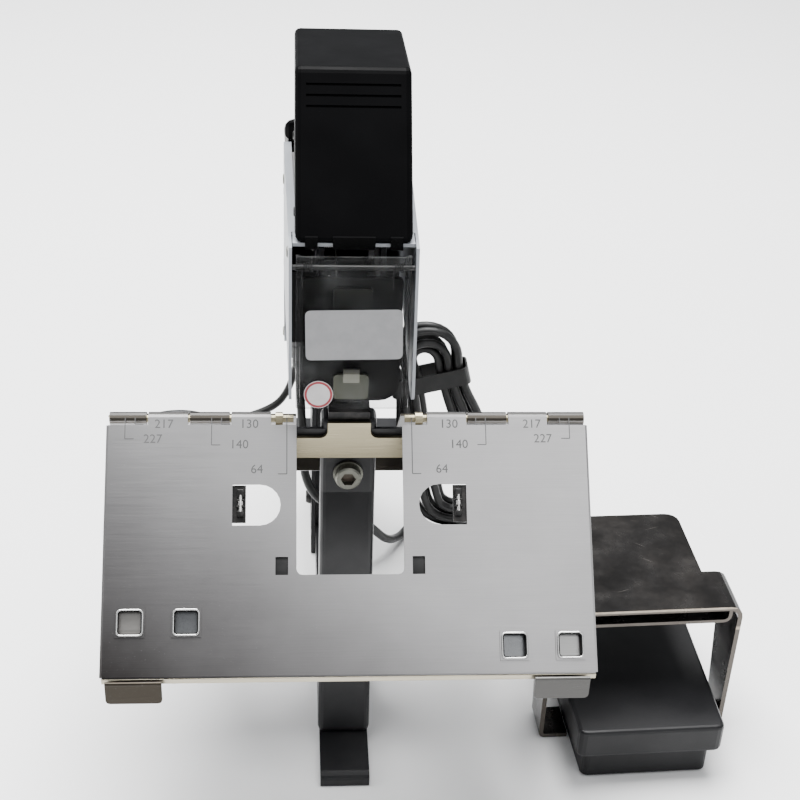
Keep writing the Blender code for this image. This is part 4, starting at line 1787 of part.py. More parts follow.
base_frame()
front_post()
column_core()
frame_plate("frame_plate_left", -1)
frame_plate("frame_plate_right", 1)
table_bracket()
anvil()
post_bolt()
front_leaf()
rear_leaf()
catch("left_catch", -1)
catch("right_catch", 1)
paper_stop("left_stop", -1)
paper_stop("right_stop", 1)
side_shell("left_shell", -1)
side_shell("right_shell", 1)
shell_lip()
head_cover()
rear_cover()
rear_panel()
power_rocker()
force_knob()
belly_plate()
gland("mains_gland", (-CONTROL_OFFSET, SHELL_REAR, MAINS_GLAND_HEIGHT), (-math.pi / 2, 0, 0))
gland("pedal_gland", (PEDAL_GLAND_X, PEDAL_GLAND_Y, REAR_BODY_BOTTOM + GAP), (math.pi, 0, 0))
solenoid_frame()
bobbin_and_winding()
plunger()
pivot_pin("lever_pivot_pin", LEVER_PIVOT_REACH, LEVER_PIVOT_HEIGHT)
pivot_pin("head_pivot_pin", HEAD_PIVOT_REACH, HEAD_PIVOT_HEIGHT)
drive_lever()
lever_spring()
head_plate()
nose_pieces()
magazine_rail()
magazine_cover()
staples_and_pusher()
driver()
finger_guard()
guard_hinge_pin()
guard_spring("left_guard_spring", -1)
guard_spring("right_guard_spring", 1)
pedal_base()
pedal_treadle()
pedal_spring()
pedal_guard()
pedal_guard_inner()
cords()
hank_tie()
mains_plug()
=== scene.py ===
import logging
import math
from dataclasses import dataclass, field
from enum import Enum

import bmesh
import bpy
from mathutils import Matrix, Vector


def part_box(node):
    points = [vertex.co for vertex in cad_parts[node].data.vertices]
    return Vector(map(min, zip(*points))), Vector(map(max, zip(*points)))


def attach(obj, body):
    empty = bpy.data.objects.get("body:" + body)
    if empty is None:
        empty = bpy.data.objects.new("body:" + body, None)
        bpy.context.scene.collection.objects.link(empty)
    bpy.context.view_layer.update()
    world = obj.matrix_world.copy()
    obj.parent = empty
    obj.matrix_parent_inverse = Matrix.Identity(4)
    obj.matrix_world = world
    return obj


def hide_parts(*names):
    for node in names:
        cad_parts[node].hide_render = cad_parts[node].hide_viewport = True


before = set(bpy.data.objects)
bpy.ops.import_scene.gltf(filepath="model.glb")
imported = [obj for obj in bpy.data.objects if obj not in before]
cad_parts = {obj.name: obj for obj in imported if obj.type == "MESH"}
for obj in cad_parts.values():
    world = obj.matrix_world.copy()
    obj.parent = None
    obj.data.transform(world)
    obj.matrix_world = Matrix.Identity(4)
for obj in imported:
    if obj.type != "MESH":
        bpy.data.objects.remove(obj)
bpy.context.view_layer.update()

LOG = logging.getLogger("stapler")
Colour = tuple[float, float, float]
Point = tuple[float, float, float]

# Height of the table's ridge, and of the hinge line just below it.
RIDGE_HEIGHT = 0.208
HINGE_HEIGHT = 0.203050253
# Slope of the table, and the distance of the front leaf's face from the hinge line.
LEAF_SLOPE = math.radians(45)
LEAF_FACE = 0.0035
# Thickness of print, and the gap that keeps a seated piece off its ground.
SKIN = 0.00003
# Noise values at which a pattern has reached its two ends.
NOISE_LOW, NOISE_HIGH = 0.3, 0.7
# Faces that meet at less than this angle are shaded as one surface.
SHADE_ANGLE = math.radians(35)
# The pedal's place and turn on the desk, and the boss of its lead: distance behind and height.
PEDAL_PLACE = (0.1655, 0.0020)
PEDAL_YAW = math.radians(2.6)
PEDAL_BOSS = (0.0681, 0.00825)
MM_PER_METRE = 1000


class Direction(Enum):
    """Which way a brushed or ribbed pattern runs on a piece."""

    ACROSS = (1.0, 0.0, 0.0)
    ALONG = (0.0, 1.0, 0.0)
    UP = (0.0, 0.0, 1.0)


class Drive(Enum):
    """The recess in a screw's head."""

    HEX = "hex"
    CROSS = "cross"


class Signal:
    """A shader socket that takes part in Python arithmetic."""

    def __init__(self, net: "Net", socket: bpy.types.NodeSocket) -> None:
        """Hold a socket of a net."""
        self.net = net
        self.socket = socket

    def _math(self, operation: str, *terms: "Signal | float") -> "Signal":
        """The result of a Math node's operation on its values or links, in order."""
        node = self.net.node("ShaderNodeMath", {"operation": operation}, dict(enumerate(terms)))
        return Signal(self.net, node.outputs[0])

    def __add__(self, other: "Signal | float") -> "Signal":
        """Sum."""
        return self._math("ADD", self, other)

    def __radd__(self, other: float) -> "Signal":
        """Sum with a number first."""
        return self._math("ADD", other, self)

    def __sub__(self, other: "Signal | float") -> "Signal":
        """Difference."""
        return self._math("SUBTRACT", self, other)

    def __rsub__(self, other: float) -> "Signal":
        """Difference with a number first."""
        return self._math("SUBTRACT", other, self)

    def __mul__(self, other: "Signal | float") -> "Signal":
        """Product."""
        return self._math("MULTIPLY", self, other)

    def __rmul__(self, other: float) -> "Signal":
        """Product with a number first."""
        return self._math("MULTIPLY", other, self)

    def __pow__(self, other: float) -> "Signal":
        """Power."""
        return self._math("POWER", self, other)

    def __abs__(self) -> "Signal":
        """Size without the sign."""
        return self._math("ABSOLUTE", self)

    def above(self, level: float) -> "Signal":
        """One where the value is above a level, else zero."""
        return self._math("GREATER_THAN", self, level)

    def sine(self) -> "Signal":
        """Sine of the value."""
        return self._math("SINE", self)

    def limit(self) -> "Signal":
        """The value kept between zero and one."""
        return self.net.spread(self, 0.0, 1.0)


class Net:
    """The nodes of one material."""

    def __init__(self, name: str) -> None:
        """Start a material with a Principled shader and an output.

        Args:
            name: The material's name.
        """
        self.material = bpy.data.materials.new(name)
        self.material.use_nodes = True
        self.tree = self.material.node_tree
        self.tree.nodes.clear()
        self.shader = self.node("ShaderNodeBsdfPrincipled")
        self.node("ShaderNodeOutputMaterial", inputs={"Surface": self.shader.outputs[0]})

    def node(self, kind: str, settings: dict | None = None, inputs: dict | None = None) -> bpy.types.Node:
        """Add a node, with its settings first and then its sockets.

        Args:
            kind: The node's type.
            settings: Attributes of the node; "stops" holds a ramp's (place, colour) pairs.
            inputs: Values, sockets or signals by the socket's name or index.

        Returns:
            The node.
        """
        node = self.tree.nodes.new(kind)
        for key, value in (settings or {}).items():
            if key == "stops":
                ramp = node.color_ramp.elements
                while len(ramp) < len(value):
                    ramp.new(1.0)
                for stop, (place, colour) in zip(ramp, value):
                    stop.position, stop.color = place, (*colour, 1.0)
            else:
                setattr(node, key, value)
        for key, value in (inputs or {}).items():
            source = value.socket if isinstance(value, Signal) else value
            if isinstance(source, bpy.types.NodeSocket):
                self.tree.links.new(source, node.inputs[key])
            else:
                node.inputs[key].default_value = source
        return node

    def place(self, stretch: Point = (1.0, 1.0, 1.0), turn: float = 0.0) -> Signal:
        """Object coordinates, turned about the vertical and then stretched along the axes.

        Args:
            stretch: Scale along each axis; a small one draws a pattern out.
            turn: Angle about the vertical.

        Returns:
            The coordinates.
        """
        source = self.node("ShaderNodeTexCoord").outputs["Object"]
        for settings in ({"Rotation": (0.0, 0.0, turn)}, {"Scale": stretch}):
            source = self.node("ShaderNodeMapping", inputs={"Vector": source, **settings}).outputs[0]
        return Signal(self, source)

    def axis(self, direction: Direction) -> Signal:
        """One object coordinate, in metres."""
        split = self.node("ShaderNodeSeparateXYZ", inputs={0: self.place()})
        return Signal(self, split.outputs[direction.value.index(1.0)])

    def facing(self, direction: Direction) -> Signal:
        """How far the surface faces along an axis.

        Args:
            direction: The axis.

        Returns:
            A value from minus one to one.
        """
        normal = self.node("ShaderNodeTexCoord").outputs["Normal"]
        split = self.node("ShaderNodeSeparateXYZ", inputs={0: normal})
        return Signal(self, split.outputs[direction.value.index(1.0)])

    def noise(self, scale: float, detail: float = 2.0, roughness: float = 0.5,
              stretch: Point = (1.0, 1.0, 1.0), turn: float = 0.0) -> Signal:
        """A noise pattern.

        Args:
            scale: Turns per metre.
            detail: Number of finer layers.
            roughness: Weight of the finer layers.
            stretch: Scale along each axis.
            turn: Angle about the vertical.

        Returns:
            The pattern.
        """
        settings = {"noise_dimensions": "3D"}
        inputs = {"Vector": self.place(stretch, turn), "Scale": scale, "Detail": detail,
                  "Roughness": roughness}
        return Signal(self, self.node("ShaderNodeTexNoise", settings, inputs).outputs[0])

    def spread(self, value: Signal, low: float, high: float, to_low: float = 0.0,
               to_high: float = 1.0) -> Signal:
        """Map a range of values onto another, clamped."""
        inputs = {"Value": value, "From Min": low, "From Max": high, "To Min": to_low, "To Max": to_high}
        return Signal(self, self.node("ShaderNodeMapRange", {"clamp": True}, inputs).outputs[0])

    def wander(self, scale: float, detail: float, low: float, high: float) -> Signal:
        """A value that drifts over the surface between two ends."""
        return self.spread(self.noise(scale, detail), NOISE_LOW, NOISE_HIGH, low, high)

    def colours(self, factor: Signal, first: "Colour | Signal", second: "Colour | Signal") -> Signal:
        """Mix two colours.

        Args:
            factor: Zero gives the first colour and one the second.
            first: A colour or its signal.
            second: The other colour or its signal.

        Returns:
            The mixed colour.
        """
        ends = [(*end, 1.0) if isinstance(end, tuple) else end for end in (first, second)]
        node = self.node("ShaderNodeMix", {"data_type": "RGBA"}, {0: factor, 6: ends[0], 7: ends[1]})
        return Signal(self, node.outputs[2])

    def relief(self, height: Signal, depth: float, strength: float = 1.0) -> Signal:
        """A bump from a height pattern, with its depth in metres."""
        inputs = {"Height": height, "Distance": depth, "Strength": strength}
        return Signal(self, self.node("ShaderNodeBump", inputs=inputs).outputs[0])

    def close(self, **sockets: "Signal | float | tuple") -> None:
        """Feed the Principled shader.

        Args:
            sockets: Values by the sockets' names, with underscores for spaces.
        """
        for name, value in sockets.items():
            key = name.replace("_", " ")
            if isinstance(value, Signal):
                self.tree.links.new(value.socket, self.shader.inputs[key])
            else:
                self.shader.inputs[key].default_value = (*value, 1.0) if isinstance(value, tuple) else value


@dataclass(frozen=True)
class Finish:
    """A surface finish that is built once and kept under its name."""

    name: str

    def build(self, net: Net) -> None:
        """Fill the material's nodes."""
        raise NotImplementedError

    def material(self) -> bpy.types.Material:
        """Find the finish's material, or build it on first use.

        Returns:
            The material.
        """
        found = bpy.data.materials.get(self.name)
        if found is None:
            net = Net(self.name)
            self.build(net)
            found = net.material
        return found


@dataclass(frozen=True)
class SprayPaint(Finish):
    """Sprayed and baked paint with a faint orange peel and a few rubbed patches."""

    colour: Colour = (0.006, 0.006, 0.007)
    rubbed: Colour = (0.014, 0.014, 0.015)
    gloss_low: float = 0.30
    gloss_high: float = 0.46
    peel: float = 0.00002
    sheen: float = 0.30

    def build(self, net: Net) -> None:
        """Cloudy colour and gloss over a fine peel.

        Args:
            net: The material's nodes.
        """
        cloud = net.spread(net.noise(28.0, 4.0, 0.6), 0.42, 0.68)
        specks = net.spread(net.noise(900.0, 1.0), 0.66, 0.72)
        base = net.colours(cloud * 0.5, self.colour, self.rubbed)
        base = net.colours(specks * 0.35, base, self.rubbed)
        rough = net.wander(60.0, 3.0, self.gloss_low, self.gloss_high)
        bump = net.relief(net.noise(520.0, 2.0), self.peel)
        net.close(Base_Color=base, Roughness=rough, Normal=bump, Specular_IOR_Level=self.sheen)


@dataclass(frozen=True)
class GrainedPlastic(Finish):
    """Moulded plastic with a fine spark-eroded grain."""

    colour: Colour = (0.0010, 0.0010, 0.0012)
    worn: Colour = (0.0020, 0.0020, 0.0023)
    roughness: float = 0.42
    grain: float = 1400.0
    depth: float = 0.00002
    sheen: float = 0.025

    def build(self, net: Net) -> None:
        """Grain bump, with slightly shinier handled patches.

        Args:
            net: The material's nodes.
        """
        grain = net.noise(self.grain, 2.0, 0.6)
        cloud = net.spread(net.noise(22.0, 3.0), 0.45, 0.7)
        dust = net.spread(net.noise(1100.0, 1.0), 0.7, 0.76)
        base = net.colours(cloud * 0.6 + dust * 0.4, self.colour, self.worn)
        rough = net.wander(40.0, 3.0, self.roughness - 0.07, self.roughness + 0.08)
        net.close(Base_Color=base, Roughness=rough, Normal=net.relief(grain, self.depth, 0.8),
                  Specular_IOR_Level=self.sheen)


@dataclass(frozen=True)
class BrushedSheet(Finish):
    """Sheet metal with brush lines, crossing scratches and faint stains, and where set, painted shade on a
    slope, on the cut edges and on the ridge.
    """

    colour: Colour = (0.60, 0.59, 0.59)
    # The stained colour serves both the random stains and the painted shade laid by the shade slope.
    stained: Colour = (0.42, 0.40, 0.39)
    run: Direction = Direction.ACROSS
    gloss_low: float = 0.26
    gloss_high: float = 0.44
    # Painted shade: a slope across, a slope up and a level, by which the colour darkens to the stained colour.
    shade_slope: Point = (0.0, 0.0, 0.0)
    # Colour of the painted shade on the cut edges; none leaves both edges and ridge alone.
    edge: Colour | None = None
    lean: float = -0.707
    # Colour of the painted shadow on the faces that look up along the ridge.
    ridge_shadow: Colour = (0.035, 0.034, 0.033)
    scraped: Colour = (0.62, 0.61, 0.60)

    def build(self, net: Net) -> None:
        """Stretched noise for the brush lines, a few hairline scratches, a cloud of stains and a painted shade
        that darkens towards a corner.

        Args:
            net: The material's nodes.
        """
        drawn = 0.012
        lines = net.noise(2600.0, 2.0, 0.6, tuple(drawn if part else 1.0 for part in self.run.value))
        scratch = net.spread(net.noise(2300.0, 1.0, 0.4, (drawn, 1.0, 1.0), 0.5), 0.76, 0.80)
        stroke = net.spread(net.noise(2100.0, 1.0, 0.4, (drawn, 1.0, 1.0), -0.9), 0.77, 0.81)
        stains = net.spread(net.noise(13.0, 5.0, 0.6), 0.36, 0.76)
        across, up, level = self.shade_slope
        # Painted shade: darker towards a corner; on the front leaf a painted dark reflection towards the lower
        # left, on the stops painted shade on their lower lips.
        corner = net.axis(Direction.ACROSS) * across + net.axis(Direction.UP) * up + level
        stain_and_shade = net.spread(lines, NOISE_LOW, NOISE_HIGH) * 0.05 + stains * 0.16 + corner.limit()
        base = net.colours(stain_and_shade.limit(), self.colour, self.stained)
        base = net.colours((scratch + stroke).limit() * 0.16, base, self.scraped)
        rough = net.spread(lines, NOISE_LOW, NOISE_HIGH, self.gloss_low, self.gloss_high)
        height = lines + scratch * -0.6 + stroke * -0.6
        base = self.edged(net, base)
        bump = net.relief(height, 0.000010, 0.45)
        net.close(Base_Color=base, Metallic=1.0, Roughness=rough, Normal=bump)

    def edged(self, net: Net, base: Signal) -> Signal:
        """Darken the cut edges and the rolled ridge of a sloping leaf, as painted shade on the edges and a
        painted shadow on the ridge.

        Args:
            net: The material's nodes.
            base: The colour of the flat face.

        Returns:
            The colour with its edges.
        """
        if self.edge is None:
            return base
        along, upward = net.facing(Direction.ALONG), net.facing(Direction.UP)
        flat = net.spread(abs(upward * 0.707 + along * self.lean), 0.35, 0.65)
        # Painted shadow on the faces that look up along the ridge, over painted shade on the cut edges.
        ridge_shadow = net.spread(upward, 0.76, 0.90)
        return net.colours(ridge_shadow, net.colours(flat, self.edge, base), self.ridge_shadow)


@dataclass(frozen=True)
class MachinedSteel(Finish):
    """Turned or ground steel with fine tool marks."""

    colour: Colour = (0.70, 0.69, 0.67)
    darker: Colour = (0.42, 0.41, 0.40)
    gloss_low: float = 0.16
    gloss_high: float = 0.34

    def build(self, net: Net) -> None:
        """Short grinding marks over a cloudy sheen.

        Args:
            net: The material's nodes.
        """
        marks = net.noise(2200.0, 2.0, 0.6, (1.0, 0.12, 1.0))
        cloud = net.spread(net.noise(90.0, 3.0), 0.4, 0.7)
        base = net.colours(cloud * 0.6, self.colour, self.darker)
        rough = net.spread(marks, NOISE_LOW, NOISE_HIGH, self.gloss_low, self.gloss_high)
        bump = net.relief(marks, 0.000008, 0.6)
        net.close(Base_Color=base, Metallic=1.0, Roughness=rough, Normal=bump)


@dataclass(frozen=True)
class OxideSteel(Finish):
    """Blackened or passivated steel, uneven and slightly mottled."""

    colour: Colour = (0.014, 0.014, 0.014)
    lighter: Colour = (0.045, 0.042, 0.040)
    metal: float = 0.8
    sheen: float = 0.5

    def build(self, net: Net) -> None:
        """Mottling in colour and gloss.

        Args:
            net: The material's nodes.
        """
        mottle = net.spread(net.noise(240.0, 4.0, 0.65), 0.42, 0.72)
        fine = net.noise(1500.0, 2.0)
        base = net.colours(mottle * 0.7, self.colour, self.lighter)
        rough = net.wander(180.0, 3.0, 0.30, 0.52)
        net.close(Base_Color=base, Metallic=self.metal, Roughness=rough, Normal=net.relief(fine, 0.00001, 0.5),
                  Specular_IOR_Level=self.sheen)


@dataclass(frozen=True)
class SmokedSheet(Finish):
    """Clear smoked plastic with smudges and hairline scratches."""

    colour: Colour = (0.012, 0.012, 0.012)
    haze: float = 0.12
    smudged: Colour = (0.16, 0.165, 0.165)

    def build(self, net: Net) -> None:
        """See-through, with the smudges a little less so.

        Args:
            net: The material's nodes.
        """
        smudge = net.spread(net.noise(55.0, 4.0, 0.6), 0.45, 0.72)
        hair = net.spread(net.noise(800.0, 1.0, 0.4, (0.06, 1.0, 0.9)), 0.71, 0.76)
        base = net.colours((smudge * 0.5 + hair * 0.4).limit(), self.colour, self.smudged)
        rim = net.node("ShaderNodeLayerWeight", inputs={"Blend": 0.35})
        slant = Signal(net, rim.outputs["Facing"])
        alpha = (slant * 0.55 + self.haze + smudge * 0.12 + hair * 0.08).limit()
        rough = net.spread(smudge, 0.0, 1.0, 0.06, 0.20)
        net.close(Base_Color=base, Roughness=rough, Alpha=alpha, Specular_IOR_Level=0.08)


@dataclass(frozen=True)
class CordSheath(Finish):
    """Smooth black cord sheath with faint rub marks."""

    colour: Colour = (0.004, 0.004, 0.004)
    rubbed: Colour = (0.012, 0.012, 0.0115)

    def build(self, net: Net) -> None:
        """A soft sheen that varies along the cord.

        Args:
            net: The material's nodes.
        """
        rub = net.spread(net.noise(130.0, 3.0), 0.45, 0.7)
        base = net.colours(rub * 0.6, self.colour, self.rubbed)
        rough = net.wander(260.0, 2.0, 0.36, 0.52)
        bump = net.relief(net.noise(2200.0, 2.0), 0.00001, 0.5)
        net.close(Base_Color=base, Roughness=rough, Normal=bump, Specular_IOR_Level=0.35)


@dataclass(frozen=True)
class BridgeSheet(Finish):
    """Glossy black sheet steel, scratched, with pale bare cut edges."""

    colour: Colour = (0.012, 0.011, 0.0105)
    bare: Colour = (0.36, 0.31, 0.25)
    greyed: Colour = (0.040, 0.036, 0.033)
    scraped: Colour = (0.22, 0.20, 0.18)
    stained: Colour = (0.20, 0.17, 0.13)
    # A shaded copy of the bare colour: painted shade on the cut faces away from the top edge and the shelf.
    low_edge_shade: Colour = (0.085, 0.075, 0.065)
    shelf_edge: tuple[float, float] = (0.0757, 0.0778)
    top_edge: float = 0.09065

    def build(self, net: Net) -> None:
        """Scratches over the lacquer; the faces that look along the sheet's cut are bare, pale at the top edge
        and the shelf and painted in shade lower down.

        Args:
            net: The material's nodes.
        """
        edge = abs(net.facing(Direction.ALONG)).above(0.86)
        broad = net.spread(net.noise(34.0, 5.0, 0.7), 0.45, 0.75)
        scratch = net.spread(net.noise(1900.0, 1.0, 0.4, (0.022, 1.0, 1.0), 0.6), 0.75, 0.80)
        streak = net.spread(net.noise(1500.0, 1.0, 0.4, (0.03, 1.0, 1.0), -0.35), 0.76, 0.81)
        base = net.colours(broad * 0.7, self.colour, self.greyed)
        base = net.colours((scratch + streak).limit() * 0.45, base, self.scraped)
        stain = net.spread(net.noise(210.0, 3.0), 0.35, 0.7)
        level = net.axis(Direction.UP)
        soft = 0.0002
        under, over = self.shelf_edge
        shelf = (net.spread(level, under - soft, under + soft)
                 - net.spread(level, over - soft, over + soft))
        high = (net.spread(level, self.top_edge - soft, self.top_edge + soft) + shelf).limit()
        bare = net.colours(stain * 0.6, self.bare, self.stained)
        # Painted shade: cut faces away from the top edge and the shelf take a shaded copy of the bare colour.
        base = net.colours(edge, base, net.colours(high, self.low_edge_shade, bare))
        rough = net.wander(70.0, 4.0, 0.13, 0.32)
        height = scratch * -1.0 + streak * -1.0
        bump = net.relief(height, 0.00001, 0.5)
        net.close(Base_Color=base, Metallic=0.6, Roughness=rough, Normal=bump, Specular_IOR_Level=0.35)


@dataclass(frozen=True)
class StapleStick(Finish):
    """Bright staples glued side by side."""

    pitch: float = 0.0005
    groove_shade: Colour = (0.16, 0.16, 0.15)
    wire: Colour = (0.72, 0.71, 0.69)

    def build(self, net: Net) -> None:
        """One ridge for each wire along the stick, with painted shade in the grooves between wires.

        Args:
            net: The material's nodes.
        """
        wave = (net.axis(Direction.ALONG) * (2 * math.pi / self.pitch)).sine()
        groove = net.spread(wave, -1.0, -0.4)
        # Painted shade: the grooves between the wires take the dark colour.
        base = net.colours(groove, self.groove_shade, self.wire)
        rough = net.wander(900.0, 2.0, 0.18, 0.32)
        net.close(Base_Color=base, Metallic=1.0, Roughness=rough, Normal=net.relief(groove, 0.0001))


@dataclass(frozen=True)
class EnamelledTurns(Finish):
    """Enamelled copper wire wound in close turns."""

    pitch: float = 0.0007
    valley_shade: Colour = (0.20, 0.06, 0.02)
    crown: Colour = (0.72, 0.33, 0.16)

    def build(self, net: Net) -> None:
        """One ridge for each turn up the bobbin, with painted shade in the valleys between turns.

        Args:
            net: The material's nodes.
        """
        wave = (net.axis(Direction.UP) * (2 * math.pi / self.pitch)).sine()
        turn = net.spread(wave, -1.0, 1.0)
        # Painted shade: the valleys between turns take a darker copy of the copper colour.
        base = net.colours(turn, self.valley_shade, self.crown)
        rough = net.wander(300.0, 2.0, 0.22, 0.38)
        net.close(Base_Color=base, Metallic=0.9, Roughness=rough, Normal=net.relief(turn, 0.0002))


@dataclass(frozen=True)
class GlossMoulding(Finish):
    """Glossy coloured moulding."""

    colour: Colour = (0.55, 0.03, 0.02)

    def build(self, net: Net) -> None:
        """Slightly uneven gloss.

        Args:
            net: The material's nodes.
        """
        cloud = net.spread(net.noise(120.0, 3.0), 0.4, 0.7)
        dim = tuple(0.7 * part for part in self.colour)
        rough = net.wander(200.0, 2.0, 0.18, 0.32)
        net.close(Base_Color=net.colours(cloud * 0.5, self.colour, dim), Roughness=rough,
                  Normal=net.relief(net.noise(900.0, 2.0), 0.00001, 0.5))


@dataclass(frozen=True)
class PlateStock(Finish):
    """Pale plastic film or printed ink, a little dirty."""

    colour: Colour = (0.66, 0.67, 0.68)
    dirty: Colour = (0.50, 0.50, 0.50)
    roughness: float = 0.38

    def build(self, net: Net) -> None:
        """Faint dirt towards darker patches.

        Args:
            net: The material's nodes.
        """
        dirt = net.spread(net.noise(110.0, 5.0, 0.65), 0.42, 0.75)
        grain = net.noise(1500.0, 2.0)
        rough = net.wander(220.0, 2.0, self.roughness - 0.06, self.roughness + 0.08)
        net.close(Base_Color=net.colours(dirt * 0.7, self.colour, self.dirty), Roughness=rough,
                  Normal=net.relief(grain, 0.000008, 0.5))


@dataclass(frozen=True)
class DeskTop(Finish):
    """The pale floor of the studio."""

    def build(self, net: Net) -> None:
        """Almost white, with the faintest cloud."""
        cloud = net.noise(3.0, 3.0)
        net.close(Base_Color=net.colours(cloud, (0.86, 0.86, 0.86), (0.90, 0.90, 0.90)), Roughness=0.75)


FRAME_PAINT = SprayPaint("frame_satin_black")
SHELL_PAINT = SprayPaint("shell_silver_grey", (0.27, 0.285, 0.305), (0.21, 0.22, 0.24), 0.34, 0.48, sheen=0.4)
COVER_PLASTIC = GrainedPlastic("cover_grained_black")
PEDAL_PLASTIC = GrainedPlastic("pedal_moulded_black", (0.0040, 0.0040, 0.0048), (0.0080, 0.0080, 0.0088),
                               0.44, 900.0, 0.00006, 0.22)
# The front leaf darkens towards its lower left as a painted dark reflection, and its cut edges and ridge carry
# painted shade.
LEAF_STEEL = BrushedSheet("leaf_brushed", (0.34, 0.336, 0.338), (0.045, 0.041, 0.040), Direction.ACROSS,
                          0.32, 0.40, (-4.2, -9.0, 1.42), (0.075, 0.068, 0.058))
# The rear leaf has painted shade on its cut edges and a painted shadow on its ridge.
REAR_LEAF_STEEL = BrushedSheet("rear_leaf_brushed", (0.34, 0.336, 0.338), (0.20, 0.195, 0.19),
                               edge=(0.075, 0.068, 0.058), lean=0.707)
# Both stops darken below a height as painted shade on their lower lips.
LEFT_STOP_STEEL = BrushedSheet("left_stop_bronzed_and_shaded", (0.30, 0.29, 0.275), (0.030, 0.026, 0.021),
                               shade_slope=(0.0, -400.0, 46.4))
RIGHT_STOP_STEEL = BrushedSheet("right_stop_grey_and_shaded", (0.30, 0.30, 0.295), (0.062, 0.061, 0.059),
                                shade_slope=(0.0, -400.0, 46.4))
INNER_STEEL = BrushedSheet("inner_brushed", run=Direction.ALONG)
NICKEL_PLATE = BrushedSheet("bracket_nickel", (0.27, 0.24, 0.165), (0.16, 0.14, 0.09), Direction.ACROSS,
                            0.24, 0.42)
NOSE_STEEL = BrushedSheet("nose_olive_grey", (0.060, 0.062, 0.050), (0.03, 0.031, 0.026), Direction.UP,
                          0.30, 0.45)
LATCH_STEEL = BrushedSheet("latch_grey", (0.21, 0.21, 0.18), (0.12, 0.12, 0.10), Direction.UP, 0.30, 0.45)
TRAY_STEEL = BrushedSheet("tray_grey", (0.16, 0.165, 0.17), (0.10, 0.10, 0.105), Direction.ALONG, 0.26, 0.4)
# The window lips are brighter than the leaf: a painted highlight on their rounded edges.
LIP_HIGHLIGHT = MachinedSteel("lip_painted_highlight", (0.62, 0.62, 0.61), (0.48, 0.48, 0.47), 0.14, 0.26)
HEM_STEEL = BrushedSheet("hem_beige", (0.36, 0.33, 0.26), (0.24, 0.21, 0.16))
DULL_STEEL = MachinedSteel("dull_machined", (0.19, 0.19, 0.165), (0.10, 0.10, 0.085), 0.34, 0.5)
ROD_STEEL = MachinedSteel("rod_dark", (0.045, 0.045, 0.045), (0.025, 0.025, 0.025), 0.3, 0.45)
BRIGHT_STEEL = MachinedSteel("bright_machined")
DARK_STEEL = OxideSteel("blackened")
HEAD_STEEL = OxideSteel("head_blackened", (0.004, 0.004, 0.004), (0.010, 0.0095, 0.009), 0.3, 0.08)
OLIVE_STEEL = OxideSteel("olive_passivated", (0.012, 0.012, 0.009), (0.028, 0.028, 0.020))
GUARD_PLASTIC = SmokedSheet("guard_smoked")
WINDING = EnamelledTurns("winding_enamelled")
SHEATH = CordSheath("cord_sheath")
BRIDGE_STEEL = BridgeSheet("bridge_lacquered")
STAPLES = StapleStick("staple_stick")
ROCKER_RED = GlossMoulding("rocker_red")
LABEL_FILM = PlateStock("label_film", (0.24, 0.24, 0.245), (0.19, 0.19, 0.195))
STICKER_FILM = PlateStock("sticker_film", (0.50, 0.48, 0.48), (0.40, 0.38, 0.38))
MARK_INK = PlateStock("mark_grey", (0.055, 0.055, 0.055), (0.09, 0.09, 0.09), 0.6)
RING_INK = PlateStock("ring_red", (0.26, 0.02, 0.03), (0.20, 0.03, 0.035), 0.45)
DIAL_INK = PlateStock("dial_white", (0.70, 0.70, 0.68), (0.55, 0.55, 0.54), 0.45)
SOCKET_BROWN = OxideSteel("socket_brown", (0.045, 0.034, 0.024), (0.09, 0.065, 0.045), 0.4)
BRASS = MachinedSteel("blade_brass", (0.72, 0.52, 0.24), (0.50, 0.36, 0.18), 0.2, 0.34)

NODE_FINISHES: dict[Finish, tuple[str, ...]] = {
    FRAME_PAINT: ("base_frame", "front_post", "column_core", "frame_plate_left", "frame_plate_right"),
    SHELL_PAINT: ("left_shell", "right_shell", "shell_lip"),
    COVER_PLASTIC: ("head_cover", "rear_cover", "rear_panel", "belly_plate", "force_knob", "coil_bobbin"),
    PEDAL_PLASTIC: ("pedal_base", "pedal_treadle"),
    LEAF_STEEL: ("front_leaf",),
    REAR_LEAF_STEEL: ("rear_leaf",),
    LEFT_STOP_STEEL: ("left_stop",),
    RIGHT_STOP_STEEL: ("right_stop",),
    INNER_STEEL: ("solenoid_frame", "magazine_rail"),
    NICKEL_PLATE: ("table_bracket",),
    NOSE_STEEL: ("nose_plate",),
    LATCH_STEEL: ("nose_latch",),
    DULL_STEEL: ("post_bolt",),
    ROD_STEEL: ("guard_hinge_pin", "left_guard_spring", "right_guard_spring"),
    BRIGHT_STEEL: ("plunger", "lever_pivot_pin", "head_pivot_pin", "lever_spring", "driver_blade"),
    DARK_STEEL: ("anvil", "left_catch", "right_catch", "magazine_cover", "staple_pusher"),
    HEAD_STEEL: ("head_plate", "drive_lever", "driver_holder"),
    OLIVE_STEEL: ("driver_guide",),
    GUARD_PLASTIC: ("finger_guard",),
    WINDING: ("coil_winding",),
    SHEATH: ("mains_gland", "pedal_gland", "mains_plug", "hank_tie"),
    BRIDGE_STEEL: ("pedal_guard", "pedal_guard_inner"),
    STAPLES: ("staple_strip",),
    ROCKER_RED: ("power_rocker",),
}


def frame_at(origin: Vector | tuple, out: Vector | tuple, up: Vector | tuple = (0, 0, 1)) -> Matrix:
    """A placement whose Z axis points out of a surface.

    Args:
        origin: Where its origin lies.
        out: Which way its Z axis points.
        up: Which way its Y axis leans.

    Returns:
        The placement.
    """
    third = Vector(out).normalized()
    first = Vector(up).cross(third).normalized()
    second = third.cross(first)
    matrix = Matrix((first, second, third)).transposed().to_4x4()
    matrix.translation = Vector(origin)
    return matrix


